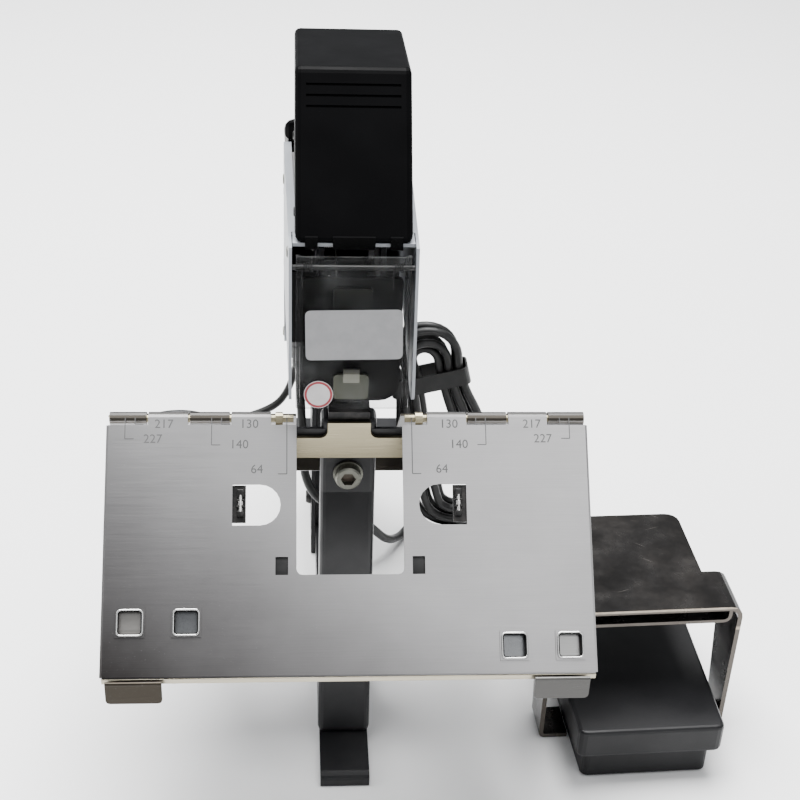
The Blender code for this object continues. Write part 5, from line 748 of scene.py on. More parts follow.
def added(bm: bmesh.types.BMesh, before: set[bmesh.types.BMVert]) -> list[bmesh.types.BMVert]:
    """The points of a mesh that weren't there before."""
    return [vert for vert in bm.verts if vert not in before]


def faces_at(verts: list[bmesh.types.BMVert]) -> list[bmesh.types.BMFace]:
    """The faces that meet any of the points."""
    return list({face for vert in verts for face in vert.link_faces})


def only(parts: list, kind: type) -> list:
    """The parts of one kind, such as the points of an extrusion."""
    return [part for part in parts if isinstance(part, kind)]


def spin_profile(bm: bmesh.types.BMesh, profile: list[tuple[float, float]], sides: int,
                 matrix: Matrix) -> None:
    """Turn a (radius, height) profile round the Z axis of a placement into a closed body.

    Args:
        bm: The mesh that it joins.
        profile: Points from the bottom to the top, in order.
        sides: Steps of the full turn.
        matrix: The placement.
    """
    verts = [bm.verts.new((radius, 0.0, height)) for radius, height in profile]
    edges = [bm.edges.new(pair) for pair in zip(verts, verts[1:])]
    if profile[0][0] > 0 and profile[-1][0] > 0:
        edges.append(bm.edges.new((verts[-1], verts[0])))
    before = set(bm.verts) - set(verts)
    bmesh.ops.spin(bm, geom=verts + edges, cent=(0, 0, 0), axis=(0, 0, 1), angle=2 * math.pi, steps=sides,
                   use_merge=True, use_duplicate=False)
    bmesh.ops.remove_doubles(bm, verts=added(bm, before), dist=1e-7)
    made = added(bm, before)
    bmesh.ops.recalc_face_normals(bm, faces=faces_at(made))
    bmesh.ops.transform(bm, matrix=matrix, verts=made)


def block(bm: bmesh.types.BMesh, size: Point, matrix: Matrix, round_off: float = 0.0,
          upright_only: bool = False) -> None:
    """A block centred in a placement, its edges rounded.

    Args:
        bm: The mesh that it joins.
        size: Its three sizes.
        matrix: The placement of its middle.
        round_off: Radius of the edges, or of the four corners.
        upright_only: Round only the four edges along its Z axis.
    """
    made = bmesh.ops.create_cube(bm, size=1.0, matrix=Matrix.Diagonal((*size, 1.0)))["verts"]
    if round_off > 0:
        edges = list({edge for vert in made for edge in vert.link_edges})
        if upright_only:
            edges = [edge for edge in edges if abs(edge.verts[0].co.z - edge.verts[1].co.z) > size[2] / 2]
        before = set(bm.verts) - set(made)
        bmesh.ops.bevel(bm, geom=edges, offset=round_off, segments=4, affect="EDGES", profile=0.5,
                        material=-1)
        made = added(bm, before)
    bmesh.ops.transform(bm, matrix=matrix, verts=made)


def square_ring(bm: bmesh.types.BMesh, size: float, width: float, height: float, corner: float,
                matrix: Matrix) -> None:
    """A flat square ring with rounded corners and softened edges.

    Args:
        bm: The mesh that it joins.
        size: Its outer size.
        width: Width of its band.
        height: Its thickness.
        corner: Radius of its outer corners.
        matrix: The placement of its underside's middle.
    """
    before = set(bm.verts)
    corners = bmesh.ops.create_grid(bm, x_segments=1, y_segments=1, size=size / 2)["verts"]
    bmesh.ops.bevel(bm, geom=corners, offset=corner, segments=5, affect="VERTICES", profile=0.5,
                    material=-1)
    faces = faces_at(added(bm, before))
    bmesh.ops.inset_region(bm, faces=faces, thickness=width, use_boundary=True, use_even_offset=True)
    bmesh.ops.delete(bm, geom=faces, context="FACES_ONLY")
    band = faces_at(added(bm, before))
    top = bmesh.ops.extrude_face_region(bm, geom=band, use_keep_orig=True)["geom"]
    bmesh.ops.translate(bm, vec=(0, 0, height), verts=only(top, bmesh.types.BMVert))
    rim = [edge for edge in only(top, bmesh.types.BMEdge) if not all(face in top for face in edge.link_faces)]
    bmesh.ops.bevel(bm, geom=rim, offset=min(width, height) * 0.46, segments=4, affect="EDGES", profile=0.5,
                    material=-1)
    made = added(bm, before)
    bmesh.ops.recalc_face_normals(bm, faces=faces_at(made))
    bmesh.ops.transform(bm, matrix=matrix, verts=made)


def dish(bm: bmesh.types.BMesh, size: Point, wall: float, corner: float,
         matrix: Matrix) -> None:
    """A shallow dish, open towards its Z axis.

    Args:
        bm: The mesh that it joins.
        size: Its outer sizes.
        wall: Thickness of its wall and floor.
        corner: Radius of its upright corners.
        matrix: The placement of its middle.
    """
    before = set(bm.verts)
    block(bm, size, Matrix.Identity(4), corner, True)
    made = added(bm, before)
    lid = [face for face in faces_at(made) if face.normal.z > 0.9]
    bmesh.ops.inset_region(bm, faces=lid, thickness=wall, use_even_offset=True)
    floor = bmesh.ops.extrude_face_region(bm, geom=lid)["geom"]
    bmesh.ops.translate(bm, vec=(0, 0, wall - size[2]), verts=only(floor, bmesh.types.BMVert))
    bmesh.ops.delete(bm, geom=[face for face in lid if face.is_valid], context="FACES_ONLY")
    made = added(bm, before)
    bmesh.ops.recalc_face_normals(bm, faces=faces_at(made))
    bmesh.ops.transform(bm, matrix=matrix, verts=made)


def make_piece(bm: bmesh.types.BMesh, name: str, finish: Finish, body: str,
               smooth: bool = False) -> bpy.types.Object:
    """Turn a mesh into a dressed piece that rides on a body.

    Args:
        bm: The finished mesh, in place.
        name: The piece's name.
        finish: Its surface finish.
        body: The body that it rides on.
        smooth: Shade it smooth between its sharp edges.

    Returns:
        The piece.
    """
    mesh = bpy.data.meshes.new(name)
    bm.to_mesh(mesh)
    bm.free()
    mesh.materials.append(finish.material())
    if smooth:
        mesh.shade_smooth()
        mesh.set_sharp_from_angle(angle=SHADE_ANGLE)
    piece = bpy.data.objects.new(name, mesh)
    bpy.context.scene.collection.objects.link(piece)
    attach(piece, body)
    LOG.info("%s: %d faces, rides on %s", name, len(mesh.polygons), body)
    return piece


def digits(bm: bmesh.types.BMesh, words: str, size: float, matrix: Matrix) -> None:
    """Add flat raised digits to a mesh.

    Args:
        bm: The mesh that they join.
        words: The digits.
        size: Their height.
        matrix: The placement of their middle, with Z out of the surface.
    """
    curve = bpy.data.curves.new("digits", "FONT")
    curve.body, curve.size, curve.extrude = words, size, SKIN
    curve.align_x, curve.align_y = "CENTER", "CENTER"
    curve.resolution_u = 3
    holder = bpy.data.objects.new("digits", curve)
    bpy.context.scene.collection.objects.link(holder)
    bpy.context.view_layer.update()
    mesh = bpy.data.meshes.new_from_object(holder)
    before = set(bm.verts)
    bm.from_mesh(mesh)
    bmesh.ops.transform(bm, matrix=matrix, verts=added(bm, before))
    bpy.data.objects.remove(holder, do_unlink=True)
    bpy.data.curves.remove(curve)
    bpy.data.meshes.remove(mesh)


@dataclass(frozen=True)
class Screw:
    """A domed screw head with a recess."""

    radius: float = 0.0030
    height: float = 0.0016
    drive: Drive = Drive.CROSS
    sides: int = 24
    rim_share: float = 0.45
    brow_share: float = 0.80
    depth_share: float = 0.7
    hex_share: float = 0.52
    cross_share: float = 0.56
    waist_share: float = 0.32
    shoulder_share: float = 0.80

    def add(self, bm: bmesh.types.BMesh, matrix: Matrix) -> None:
        """Add the head to a mesh, seated in a placement with Z out of the surface.

        Args:
            bm: The mesh that it joins.
            matrix: The placement of its seat.
        """
        before = set(bm.verts)
        lower = bmesh.ops.create_circle(bm, cap_ends=True, radius=self.radius,
                                        segments=self.sides)["verts"]
        rim = self._ring(bm, self.radius, self.height * self.rim_share)
        brow = self._ring(bm, self.radius * self.brow_share, self.height)
        mouth = self._mouth(bm)
        edges = [self._edges(lower), rim, brow, mouth]
        for near, far in zip(edges, edges[1:]):
            bmesh.ops.bridge_loops(bm, edges=near + far)
        sunk = bmesh.ops.extrude_edge_only(bm, edges=mouth)["geom"]
        floor = only(sunk, bmesh.types.BMVert)
        bmesh.ops.translate(bm, vec=(0, 0, -self.height * self.depth_share), verts=floor)
        bmesh.ops.holes_fill(bm, edges=only(sunk, bmesh.types.BMEdge), sides=0)
        made = added(bm, before)
        bmesh.ops.recalc_face_normals(bm, faces=faces_at(made))
        bmesh.ops.transform(bm, matrix=matrix, verts=made)

    @staticmethod
    def _edges(verts: list[bmesh.types.BMVert]) -> list[bmesh.types.BMEdge]:
        """The edges that join the given points."""
        return list({edge for vert in verts for edge in vert.link_edges if edge.other_vert(vert) in verts})

    def _ring(self, bm: bmesh.types.BMesh, radius: float, height: float) -> list[bmesh.types.BMEdge]:
        """An open ring of edges at a height.

        Args:
            bm: The mesh that it joins.
            radius: Its radius.
            height: Its height.

        Returns:
            Its edges.
        """
        verts = bmesh.ops.create_circle(bm, cap_ends=False, radius=radius, segments=self.sides)["verts"]
        bmesh.ops.translate(bm, vec=(0, 0, height), verts=verts)
        return self._edges(verts)

    def _mouth(self, bm: bmesh.types.BMesh) -> list[bmesh.types.BMEdge]:
        """The outline of the recess at the top of the head.

        Args:
            bm: The mesh that it joins.

        Returns:
            Its edges.
        """
        hexagon = self.drive is Drive.HEX
        radius = self.radius * (self.hex_share if hexagon else self.cross_share)
        verts = bmesh.ops.create_circle(bm, cap_ends=False, radius=radius,
                                        segments=6 if hexagon else 16)["verts"]
        if not hexagon:
            for index, vert in enumerate(verts):
                if index % 4 == 2:
                    vert.co *= self.waist_share
                elif index % 4 != 0:
                    vert.co *= self.shoulder_share
        bmesh.ops.translate(bm, vec=(0, 0, self.height), verts=verts)
        return self._edges(verts)


@dataclass
class Viewpoint:
    """The camera at the photograph's place."""

    yaw: float = math.radians(4.898)
    pitch: float = math.radians(31.845)
    roll: float = math.radians(2.638)
    place: Point = (-0.0298, -0.6485, 0.6186)
    lens: float = 67.42
    sensor: float = 36.0
    reach: tuple[float, float] = (0.01, 50.0)

    def build(self) -> bpy.types.Object:
        """Make the camera and set it as the scene's.

        Returns:
            The camera's object.
        """
        ahead = Vector((math.sin(self.yaw) * math.cos(self.pitch),
                        math.cos(self.yaw) * math.cos(self.pitch), -math.sin(self.pitch)))
        level = Vector((math.cos(self.yaw), -math.sin(self.yaw), 0.0))
        upward = level.cross(ahead)
        right = math.cos(self.roll) * level + math.sin(self.roll) * upward
        above = -math.sin(self.roll) * level + math.cos(self.roll) * upward
        data = bpy.data.cameras.new("camera")
        data.lens, data.sensor_width = self.lens, self.sensor
        data.clip_start, data.clip_end = self.reach
        camera = bpy.data.objects.new("camera", data)
        matrix = Matrix((right, above, -ahead)).transposed().to_4x4()
        matrix.translation = Vector(self.place)
        camera.matrix_world = matrix
        bpy.context.scene.collection.objects.link(camera)
        bpy.context.scene.camera = camera
        LOG.info("camera at %s", self.place)
        return camera


@dataclass
class Studio:
    """Pale floor, pale surroundings and soft lights."""

    floor_size: float = 30.0
    floor_drop: float = 0.0004
    sky: Colour = (0.93, 0.95, 0.98)
    sky_strength: float = 0.60
    lamps: tuple = (("key_light", (0.50, -0.85, 1.55), (0.0, -0.05, 0.15), 1.0, 9.0),
                    ("top_light", (-0.1, 0.55, 2.0), (0.0, 0.1, 0.0), 1.6, 190.0),
                    ("side_light", (-1.3, 0.2, 1.1), (0.0, 0.1, 0.25), 0.9, 9.0))

    def build(self) -> None:
        """Make the floor, the sky and the lights."""
        bm = bmesh.new()
        bmesh.ops.create_grid(bm, x_segments=1, y_segments=1, size=self.floor_size / 2,
                              matrix=Matrix.Translation((0, 0, -self.floor_drop)))
        mesh = bpy.data.meshes.new("floor")
        bm.to_mesh(mesh)
        bm.free()
        mesh.materials.append(DeskTop("desk_top").material())
        floor = bpy.data.objects.new("floor", mesh)
        bpy.context.scene.collection.objects.link(floor)
        world = bpy.data.worlds.new("sky")
        world.use_nodes = True
        back = world.node_tree.nodes["Background"]
        back.inputs["Color"].default_value = (*self.sky, 1.0)
        back.inputs["Strength"].default_value = self.sky_strength
        bpy.context.scene.world = world
        for lamp in self.lamps:
            self._lamp(*lamp)

    def _lamp(self, name: str, place: Point, target: Point, size: float, power: float) -> None:
        """Make one square soft light.

        Args:
            name: Its name.
            place: Where it stands.
            target: What it looks at.
            size: Its side.
            power: Its watts.
        """
        data = bpy.data.lights.new(name, "AREA")
        data.shape, data.size, data.energy = "SQUARE", size, power
        lamp = bpy.data.objects.new(name, data)
        way = (Vector(target) - Vector(place)).normalized()
        lamp.matrix_world = Matrix.Translation(place) @ way.to_track_quat("-Z", "Y").to_matrix().to_4x4()
        bpy.context.scene.collection.objects.link(lamp)
        LOG.info("%s of %.0f watts", name, power)


@dataclass
class Cords:
    """The mains lead in its coil and the pedal lead in its hank."""

    radius: float = 0.0028
    gap: float = 0.0003
    spacing: float = 0.0035
    turn_points: int = 24
    mains_exit: Point = (-0.0140, 0.2713, 0.1800)
    mains_drop: tuple = ((-0.0150, 0.2900, 0.1700), (-0.0170, 0.3040, 0.1440), (-0.0200, 0.3100, 0.1000),
                         (-0.0250, 0.3125, 0.0550), (-0.0370, 0.3130, 0.0200), (-0.0600, 0.3120, 0.0060),
                         (-0.0800, 0.3118, 0.0033))
    coil_centre: tuple[float, float] = (-0.112, 0.272)
    coil_inner: float = 0.0118
    coil_step: float = 0.0071
    coil_layer: float = 0.0068
    coil_turns: int = 4
    tail: tuple = ((-0.1480, 0.2520, 0.0088), (-0.1415, 0.2410, 0.0096))
    plug_neck: Point = (-0.1360, 0.2260, 0.0103)
    pedal_exit: Point = (-0.0245, 0.1650, 0.1360)
    pedal_drop: tuple = ((-0.0235, 0.1580, 0.1120), (-0.0220, 0.1460, 0.0880), (-0.0200, 0.1370, 0.0700),
                         (-0.0120, 0.1320, 0.0580), (0.0040, 0.1310, 0.0500), (0.0200, 0.1330, 0.0360),
                         (0.0330, 0.1420, 0.0180), (0.0430, 0.1590, 0.0070), (0.0560, 0.1780, 0.0034))
    hank_place: tuple[float, float] = (0.0690, 0.1720)
    hank_tilt: float = math.radians(14)
    hank_inner: tuple[float, float] = (0.0100, 0.0620)
    hank_step: float = 0.0085
    hank_layer: float = 0.0072
    hank_turns: float = 2.25
    hank_waist: Point = (0.24, 0.50, 0.025)
    pedal_run: tuple = ((0.1180, 0.2000, 0.0034), (0.1400, 0.1780, 0.0033), (0.1530, 0.1440, 0.0033),
                        (0.1600, 0.1080, 0.0040))
    blade: Point = (0.0018, 0.0168, 0.0064)
    blade_place: Point = (0.00635, -0.0001, 0.0103)
    blade_round: float = 0.0003

    def build(self) -> None:
        coil, hank = self._coil(), self._hank()
        run = 2 * self.radius
        out = Vector((0, run, 0))
        start = Vector(self.mains_exit)
        neck = Vector(self.plug_neck)
        enter, leave = self._level(coil[0], coil[1]) * run, self._level(coil[-1], coil[-2]) * run
        first = [start, start + out, *map(Vector, self.mains_drop), coil[0] + 2 * enter,
                 coil[0] + enter]
        last = [coil[-1] + leave, coil[-1] + 2 * leave, *map(Vector, self.tail), neck + out, neck]
        route = self._smooth(first + coil + last)
        mains = self._lead("mains_cord", route, ("mains_lead", "mains_coil", "mains_tail"))
        blades = self._plug_blades()
        start = Vector(self.pedal_exit)
        end = self._behind_pedal(0)
        before = self._behind_pedal(run)
        enter, leave = self._level(hank[0], hank[1]) * run, self._level(hank[-1], hank[-2]) * run
        first = [start, start - Vector((0, 0, run)), *map(Vector, self.pedal_drop), hank[0] + 2 * enter,
                 hank[0] + enter]
        last = [hank[-1] + leave, hank[-1] + 2 * leave, *map(Vector, self.pedal_run), before, end]
        route = self._smooth(first + hank + last)
        lead = self._lead("pedal_lead", route, ("pedal_cord_upper", "pedal_hank", "pedal_cord"))

    @staticmethod
    def _level(near: Vector, far: Vector) -> Vector:
        """The level direction from one point to another before it."""
        return Vector((near.x - far.x, near.y - far.y, 0)).normalized()

    @staticmethod
    def _behind_pedal(gap: float) -> Vector:
        """The place straight behind the pedal's boss, at a gap from it."""
        turned = Matrix.Rotation(PEDAL_YAW, 3, "Z") @ Vector((0, PEDAL_BOSS[0] + gap, PEDAL_BOSS[1]))
        return Vector((*PEDAL_PLACE, 0)) + turned

    @staticmethod
    def _ease(share: float) -> float:
        """A share kept between zero and one, with a soft start and end."""
        share = min(1, max(0, share))
        return share * share * (3 - 2 * share)

    def _coil(self) -> list[Vector]:
        """The mains coil: in along the desk, up one layer and out on top.

        Returns:
            The points of its centre line.
        """
        climb = self.turn_points // 2
        inward = self.coil_turns * self.turn_points
        outward = inward - self.turn_points // 4
        points = []
        for step in range(inward + climb + outward + 1):
            lift = self._ease((step - inward) / climb)
            turns_out = max(0, inward - step, step - inward - climb) / self.turn_points
            radius = self.coil_inner + self.coil_step * turns_out
            angle = math.pi / 2 + 2 * math.pi * step / self.turn_points
            points.append(Vector((self.coil_centre[0] + radius * math.cos(angle),
                                  self.coil_centre[1] + radius * math.sin(angle),
                                  self.radius + self.gap + self.coil_layer * lift)))
        return points

    def _hank(self) -> list[Vector]:
        """The pedal lead's hank, standing beside the column.

        Returns:
            The points of its centre line.
        """
        wide, tall = self._half(self.hank_turns)
        tilt = self.hank_tilt
        start = 1 - (0.5 + tilt / math.pi) / 4
        rise = (tall - wide) * math.cos(tilt) + wide + self.radius + 2 * self.gap
        inward = round(self.hank_turns * self.turn_points)
        climb = self.turn_points // 2
        share, middle, reach = self.hank_waist
        points = []
        for step in range(2 * inward + climb + 1):
            lift = self._ease((step - inward) / climb)
            turns_out = max(0, inward - step, step - inward - climb) / self.turn_points
            across, up = self._loop(start + step / self.turn_points, *self._half(turns_out))
            waist = math.exp(-((up - tall * middle) / reach) ** 2)
            across *= 1 - share * waist
            points.append(Vector((
                self.hank_place[0] + across * math.cos(tilt) - up * math.sin(tilt),
                self.hank_place[1] + self.hank_layer * lift,
                rise + across * math.sin(tilt) + up * math.cos(tilt))))
        return points

    @staticmethod
    def _loop(turn: float, wide: float, tall: float) -> tuple[float, float]:
        """A place on a loop with straight sides and round ends.

        Args:
            turn: Turns from the foot of the right side; each side and each end takes a quarter.
            wide: Half width.
            tall: Half height.

        Returns:
            The place across and up.
        """
        part, rest = divmod(turn % 1 * 4, 1)
        side = 1 if part < 2 else -1
        if part % 2 == 0:
            return side * wide, side * (tall - wide) * (2 * rest - 1)
        turned = math.pi * rest
        return side * wide * math.cos(turned), side * (tall - wide + wide * math.sin(turned))

    def _half(self, turns_out: float) -> tuple[float, float]:
        """Half width and half height of one loop of the hank."""
        grown = self.hank_step * turns_out
        return self.hank_inner[0] + grown, self.hank_inner[1] + grown

    def _smooth(self, points: list[Vector]) -> list[Vector]:
        """A finer line through the given points.

        Args:
            points: The route.

        Returns:
            The route with more points, about a spacing apart.
        """
        ends = [points[0] * 2 - points[1], *points, points[-1] * 2 - points[-2]]
        fine = []
        for before, start, end, after in zip(ends, ends[1:], ends[2:], ends[3:]):
            gap = (end - start).length
            steps = max(2, round(gap / self.spacing))
            leave = start + (end - before).normalized() * gap / 3
            arrive = end - (after - start).normalized() * gap / 3
            for step in range(steps):
                share = step / steps
                rest = 1 - share
                fine.append(start * rest ** 3 + leave * (3 * rest * rest * share)
                            + arrive * (3 * rest * share * share) + end * share ** 3)
        return fine + [points[-1]]

    @staticmethod
    def _length(points: list[Vector]) -> float:
        """Length of a line."""
        return sum((far - near).length for near, far in zip(points, points[1:]))

    def _lead(self, name: str, route: list[Vector], solids: tuple[str, ...]) -> bpy.types.Object:
        """One lead as a curve with a round section.

        Args:
            name: The piece's name.
            route: The points of its centre line.
            solids: The CAD nodes that it stands for.

        Returns:
            The piece.
        """
        data = bpy.data.curves.new(name, "CURVE")
        data.dimensions = "3D"
        data.bevel_depth, data.bevel_resolution = self.radius, 3
        data.use_fill_caps = True
        spline = data.splines.new("POLY")
        spline.points.add(len(route) - 1)
        for target, point in zip(spline.points, route):
            target.co = (*point, 1.0)
        spline.use_smooth = True
        data.materials.append(SHEATH.material())
        piece = bpy.data.objects.new(name, data)
        bpy.context.scene.collection.objects.link(piece)
        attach(piece, "frame")
        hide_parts(*solids)
        LOG.info("%s is %.3f m long", name, self._length(route))
        return piece

    def _plug_blades(self) -> bpy.types.Object:
        """Brass sleeves over the plug's two pins.

        Returns:
            The piece.
        """
        low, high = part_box("mains_plug")
        bm = bmesh.new()
        shift, reach, height = self.blade_place
        for side in (-1, 1):
            place = ((low[0] + high[0]) / 2 + side * shift, low[1] + self.blade[1] / 2 + reach, height)
            block(bm, self.blade, Matrix.Translation(place), self.blade_round)
        return make_piece(bm, "plug_blades", BRASS, "frame", True)


@dataclass
class SaddleTable:
    """The front leaf's marks, window lips, trays, slot pads, hem and catches, and the bolt's socket floor.

    Marks give, in millimetres, the place across, the near and far end and the side of the tick. Numbers
    give their text, place across and reach.
    """

    line: float = 0.00045
    marks: tuple = ((31.9, 3.8, 32.9, 1), (65.0, 3.8, 7.2, -1), (70.0, 3.8, 17.9, -1),
                    (108.5, 3.8, 7.2, -1), (113.5, 3.8, 14.7, -1))
    tick: float = 0.0045
    tick_shift: float = 0.0022
    numbers: tuple = (("64", 47.0, 30.6), ("130", 51.0, 7.2), ("140", 56.0, 17.8), ("217", 94.0, 7.2),
                      ("227", 99.5, 14.9))
    digit_size: float = 0.0064
    socket: float = 0.0038
    socket_thick: float = 0.0002
    socket_depth: float = 0.0027
    socket_drop: float = 0.0375
    windows: tuple = ((-0.1087, 0.1070), (-0.0812, 0.1070), (0.0814, 0.1200), (0.1094, 0.1200))
    window_rim: float = 0.0006
    lip: tuple[float, ...] = (0.0134, 0.0009, 0.0010, 0.0024)
    # Size, band, thickness and corner of the dark rings that paint the shade inside each window.
    shade_ring: tuple[float, ...] = (0.0123, 0.0008, 0.0010, 0.0020)
    sheet: float = 0.0012
    tray: Point = (0.0165, 0.0175, 0.0032)
    tray_wall: float = 0.0007
    tray_corner: float = 0.0025
    pad: Point = (0.0088, 0.0110, 0.0020)
    pad_place: tuple[float, float] = (0.03435, 0.0790)
    pad_round: float = 0.0008
    hem: Point = (0.2440, 0.0009, 0.0029)
    hem_place: tuple[float, float] = (-0.09425, 0.11105)
    hem_round: float = 0.0003
    catch: tuple[float, float] = (0.0551, 0.0480)
    end_lugs: tuple = ((-0.0052, (0.0034, 0.0040, 0.0026)), (0.0052, (0.0034, 0.0030, 0.0026)))
    end_lug_sink: float = 0.0002
    end_lug_round: float = 0.0004
    fin: Point = (0.0040, 0.0009, 0.0022)
    fin_shift: float = 0.0016
    fin_round: float = 0.0003
    pin_start: tuple[float, float] = (0.0042, 0.0003)
    pin_profile: tuple = ((0, 0), (0.0009, 0.0), (0.0009, 0.0030), (0.0013, 0.0032), (0.0013, 0.0052),
                          (0.0009, 0.0054), (0.0009, 0.0084), (0, 0.0084))
    place: Matrix = field(default_factory=lambda: Matrix.Translation((0, 0, HINGE_HEIGHT))
                          @ Matrix.Rotation(LEAF_SLOPE, 4, "X"))

    def on_leaf(self, x: float, reach: float, lift: float = 0.0) -> Matrix:
        """A placement on the front leaf's face, from its middle, its ridge and its face."""
        flat = self.place @ Matrix.Translation((x, LEAF_FACE - reach, LEAF_FACE + SKIN))
        return flat @ Matrix.Translation((0, 0, lift))

    def build(self) -> None:
        """Make every piece on the table."""
        self._marks()
        self._socket()
        self._windows()
        self._catches()

    def _marks(self) -> None:
        """Lines, ticks and numbers, alike on both halves."""
        bm = bmesh.new()
        for x, start, end, way in self.marks:
            for side in (-1, 1):
                across, far = side * x / MM_PER_METRE, end / MM_PER_METRE
                near = start / MM_PER_METRE
                block(bm, (self.line, far - near, 2 * SKIN), self.on_leaf(across, (near + far) / 2))
                block(bm, (self.tick, self.line, 2 * SKIN),
                      self.on_leaf(across + side * way * self.tick_shift, far))
        for words, x, reach in self.numbers:
            for side in (-1, 1):
                digits(bm, words, self.digit_size, self.on_leaf(side * x / MM_PER_METRE, reach / MM_PER_METRE))
        make_piece(bm, "leaf_marks", MARK_INK, "table_front")

    def _socket(self) -> None:
        """A dark brown floor in the bolt's hexagonal socket."""
        bm = bmesh.new()
        bmesh.ops.create_circle(bm, cap_ends=True, radius=self.socket, segments=6)
        bmesh.ops.solidify(bm, geom=bm.faces[:], thickness=self.socket_thick)
        low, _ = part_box("post_bolt")
        place = frame_at((0, low[1] + self.socket_depth, RIDGE_HEIGHT - self.socket_drop), (0, -1, 0))
        bmesh.ops.transform(bm, verts=bm.verts, matrix=place)
        make_piece(bm, "bolt_socket_floor", SOCKET_BROWN, "frame")

    def _windows(self) -> None:
        """Lips round the windows with dark rings under them as painted shade inside each opening, trays behind
        two of the windows, pads behind the slots and the hem.
        """
        lips, shade_rings, trays, pads, hem = (bmesh.new() for _ in range(5))
        for x, reach in self.windows:
            square_ring(lips, *self.lip, self.on_leaf(x, reach, self.window_rim))
            # A dark ring under each lip is painted shade inside the opening.
            square_ring(shade_rings, *self.shade_ring, self.on_leaf(x, reach))
        behind = self.sheet + 2 * SKIN
        for x, reach in self.windows[1:3]:
            dish(trays, self.tray, self.tray_wall, self.tray_corner,
                 self.on_leaf(x, reach, -behind - self.tray[2] / 2))
        x, reach = self.pad_place
        for side in (-1, 1):
            block(pads, self.pad, self.on_leaf(side * x, reach, -behind - self.pad[2] / 2), self.pad_round)
        block(hem, self.hem, Matrix.Translation((0, *self.hem_place)), self.hem_round)
        # The lips carry a painted highlight, the dark rings a painted shade.
        make_piece(lips, "window_lips", LIP_HIGHLIGHT, "table_front", True)
        make_piece(shade_rings, "window_shade_rings", HEAD_STEEL, "table_front", True)
        make_piece(trays, "window_trays", TRAY_STEEL, "table_front", True)
        make_piece(pads, "slot_pads", SHEATH, "table_front", True)
        make_piece(hem, "leaf_hem", HEM_STEEL, "table_front", True)

    def _catches(self) -> None:
        """A bright spring pin between two lugs on each catch."""
        reach, (start, lift) = self.catch[1], self.pin_start
        for side, name in ((-1, "left"), (1, "right")):
            x = side * self.catch[0]
            lugs, pin = bmesh.new(), bmesh.new()
            for shift, size in self.end_lugs:
                block(lugs, size, self.on_leaf(x, reach + shift, -self.end_lug_sink), self.end_lug_round)
            for shift in (-self.fin_shift, self.fin_shift):
                block(lugs, self.fin, self.on_leaf(x, reach + shift), self.fin_round)
            lying = self.on_leaf(x, reach + start, lift) @ Matrix.Rotation(math.radians(-90), 4, "X")
            spin_profile(pin, self.pin_profile, 16, lying)
            make_piece(lugs, name + "_catch_lugs", DARK_STEEL, "catch_" + name, True)
            make_piece(pin, name + "_catch_pin", BRIGHT_STEEL, "catch_" + name, True)


@dataclass
class StaplingHead:
    """Label and sticker of the finger guard, and the screws of the shells and the head cover."""

    guard_axis: Point = (0.0, -0.0103, 0.2950)
    guard_lean: float = math.radians(9.8)
    guard_front: float = 0.0047114
    label: tuple[float, float, float, float] = (0.0005, -0.0324, 0.0470, 0.0253)
    label_tilt: float = math.radians(1.0)
    label_corner: float = 0.0026
    sticker: Point = (-0.0165, -0.0633, 0.0071)
    ring_shares: tuple[float, float] = (0.80, 0.96)
    round_steps: int = 48
    film: float = 0.00014
    shell_screw: Screw = Screw(0.0028, 0.0007)
    shell_screws: tuple = ((0.012, 0.292), (0.100, 0.292), (0.140, 0.176), (0.232, 0.176), (0.232, 0.226))
    shell_half: float = 0.031
    shell_flare: float = 0.003
    flare_start: float = -0.0103
    flare_length: float = 0.1283
    cover_screw: Screw = Screw(0.0024, 0.0006)
    cover_screws: tuple = ((0.012, 0.3135), (0.109, 0.3135))
    cover_half: float = 0.0282

    def on_guard(self, x: float, height: float) -> Matrix:
        """A placement on the guard's front face, with Z out of it."""
        lean = Matrix.Translation(self.guard_axis) @ Matrix.Rotation(-self.guard_lean, 4, "X")
        return lean @ frame_at((x, -self.guard_front, height), (0, -1, 0))

    def build(self) -> None:
        """Make the label, the sticker and the screws."""
        x, height, wide, tall = self.label
        bm = bmesh.new()
        place = self.on_guard(x, height) @ Matrix.Rotation(self.label_tilt, 4, "Z")
        middle = Matrix.Translation((0, 0, self.film / 2 + SKIN))
        block(bm, (wide, tall, self.film), place @ middle, self.label_corner, True)
        make_piece(bm, "guard_label", LABEL_FILM, "guard")
        x, height, radius = self.sticker
        inner, outer = (radius * share for share in self.ring_shares)
        film, top = self.film, self.film + SKIN
        disc = ((0, SKIN), (radius, SKIN), (radius, film), (0, film))
        ring = ((inner, film), (outer, film), (outer, top), (inner, top))
        for name, finish, slot, profile in (("guard_sticker", STICKER_FILM, "shell_paint", disc),
                                            ("sticker_ring", RING_INK, "switch_red", ring)):
            bm = bmesh.new()
            spin_profile(bm, profile, self.round_steps, self.on_guard(x, height))
            make_piece(bm, name, finish, "guard")
        self._screws()

    def _screws(self) -> None:
        """Pan-head screws on the flared shells and on the head cover."""
        for side, name in ((-1, "left"), (1, "right")):
            bm = bmesh.new()
            for y, z in self.shell_screws:
                wall = self.shell_half + self.shell_flare * min(1.0, (y - self.flare_start) / self.flare_length)
                self.shell_screw.add(bm, frame_at((side * (wall + SKIN), y, z), (side, 0, 0)))
            make_piece(bm, name + "_shell_screws", DULL_STEEL, "frame", True)
            bm = bmesh.new()
            for y, z in self.cover_screws:
                self.cover_screw.add(bm, frame_at((side * (self.cover_half + SKIN), y, z), (side, 0, 0)))
            make_piece(bm, name + "_cover_screws", DARK_STEEL, "frame", True)


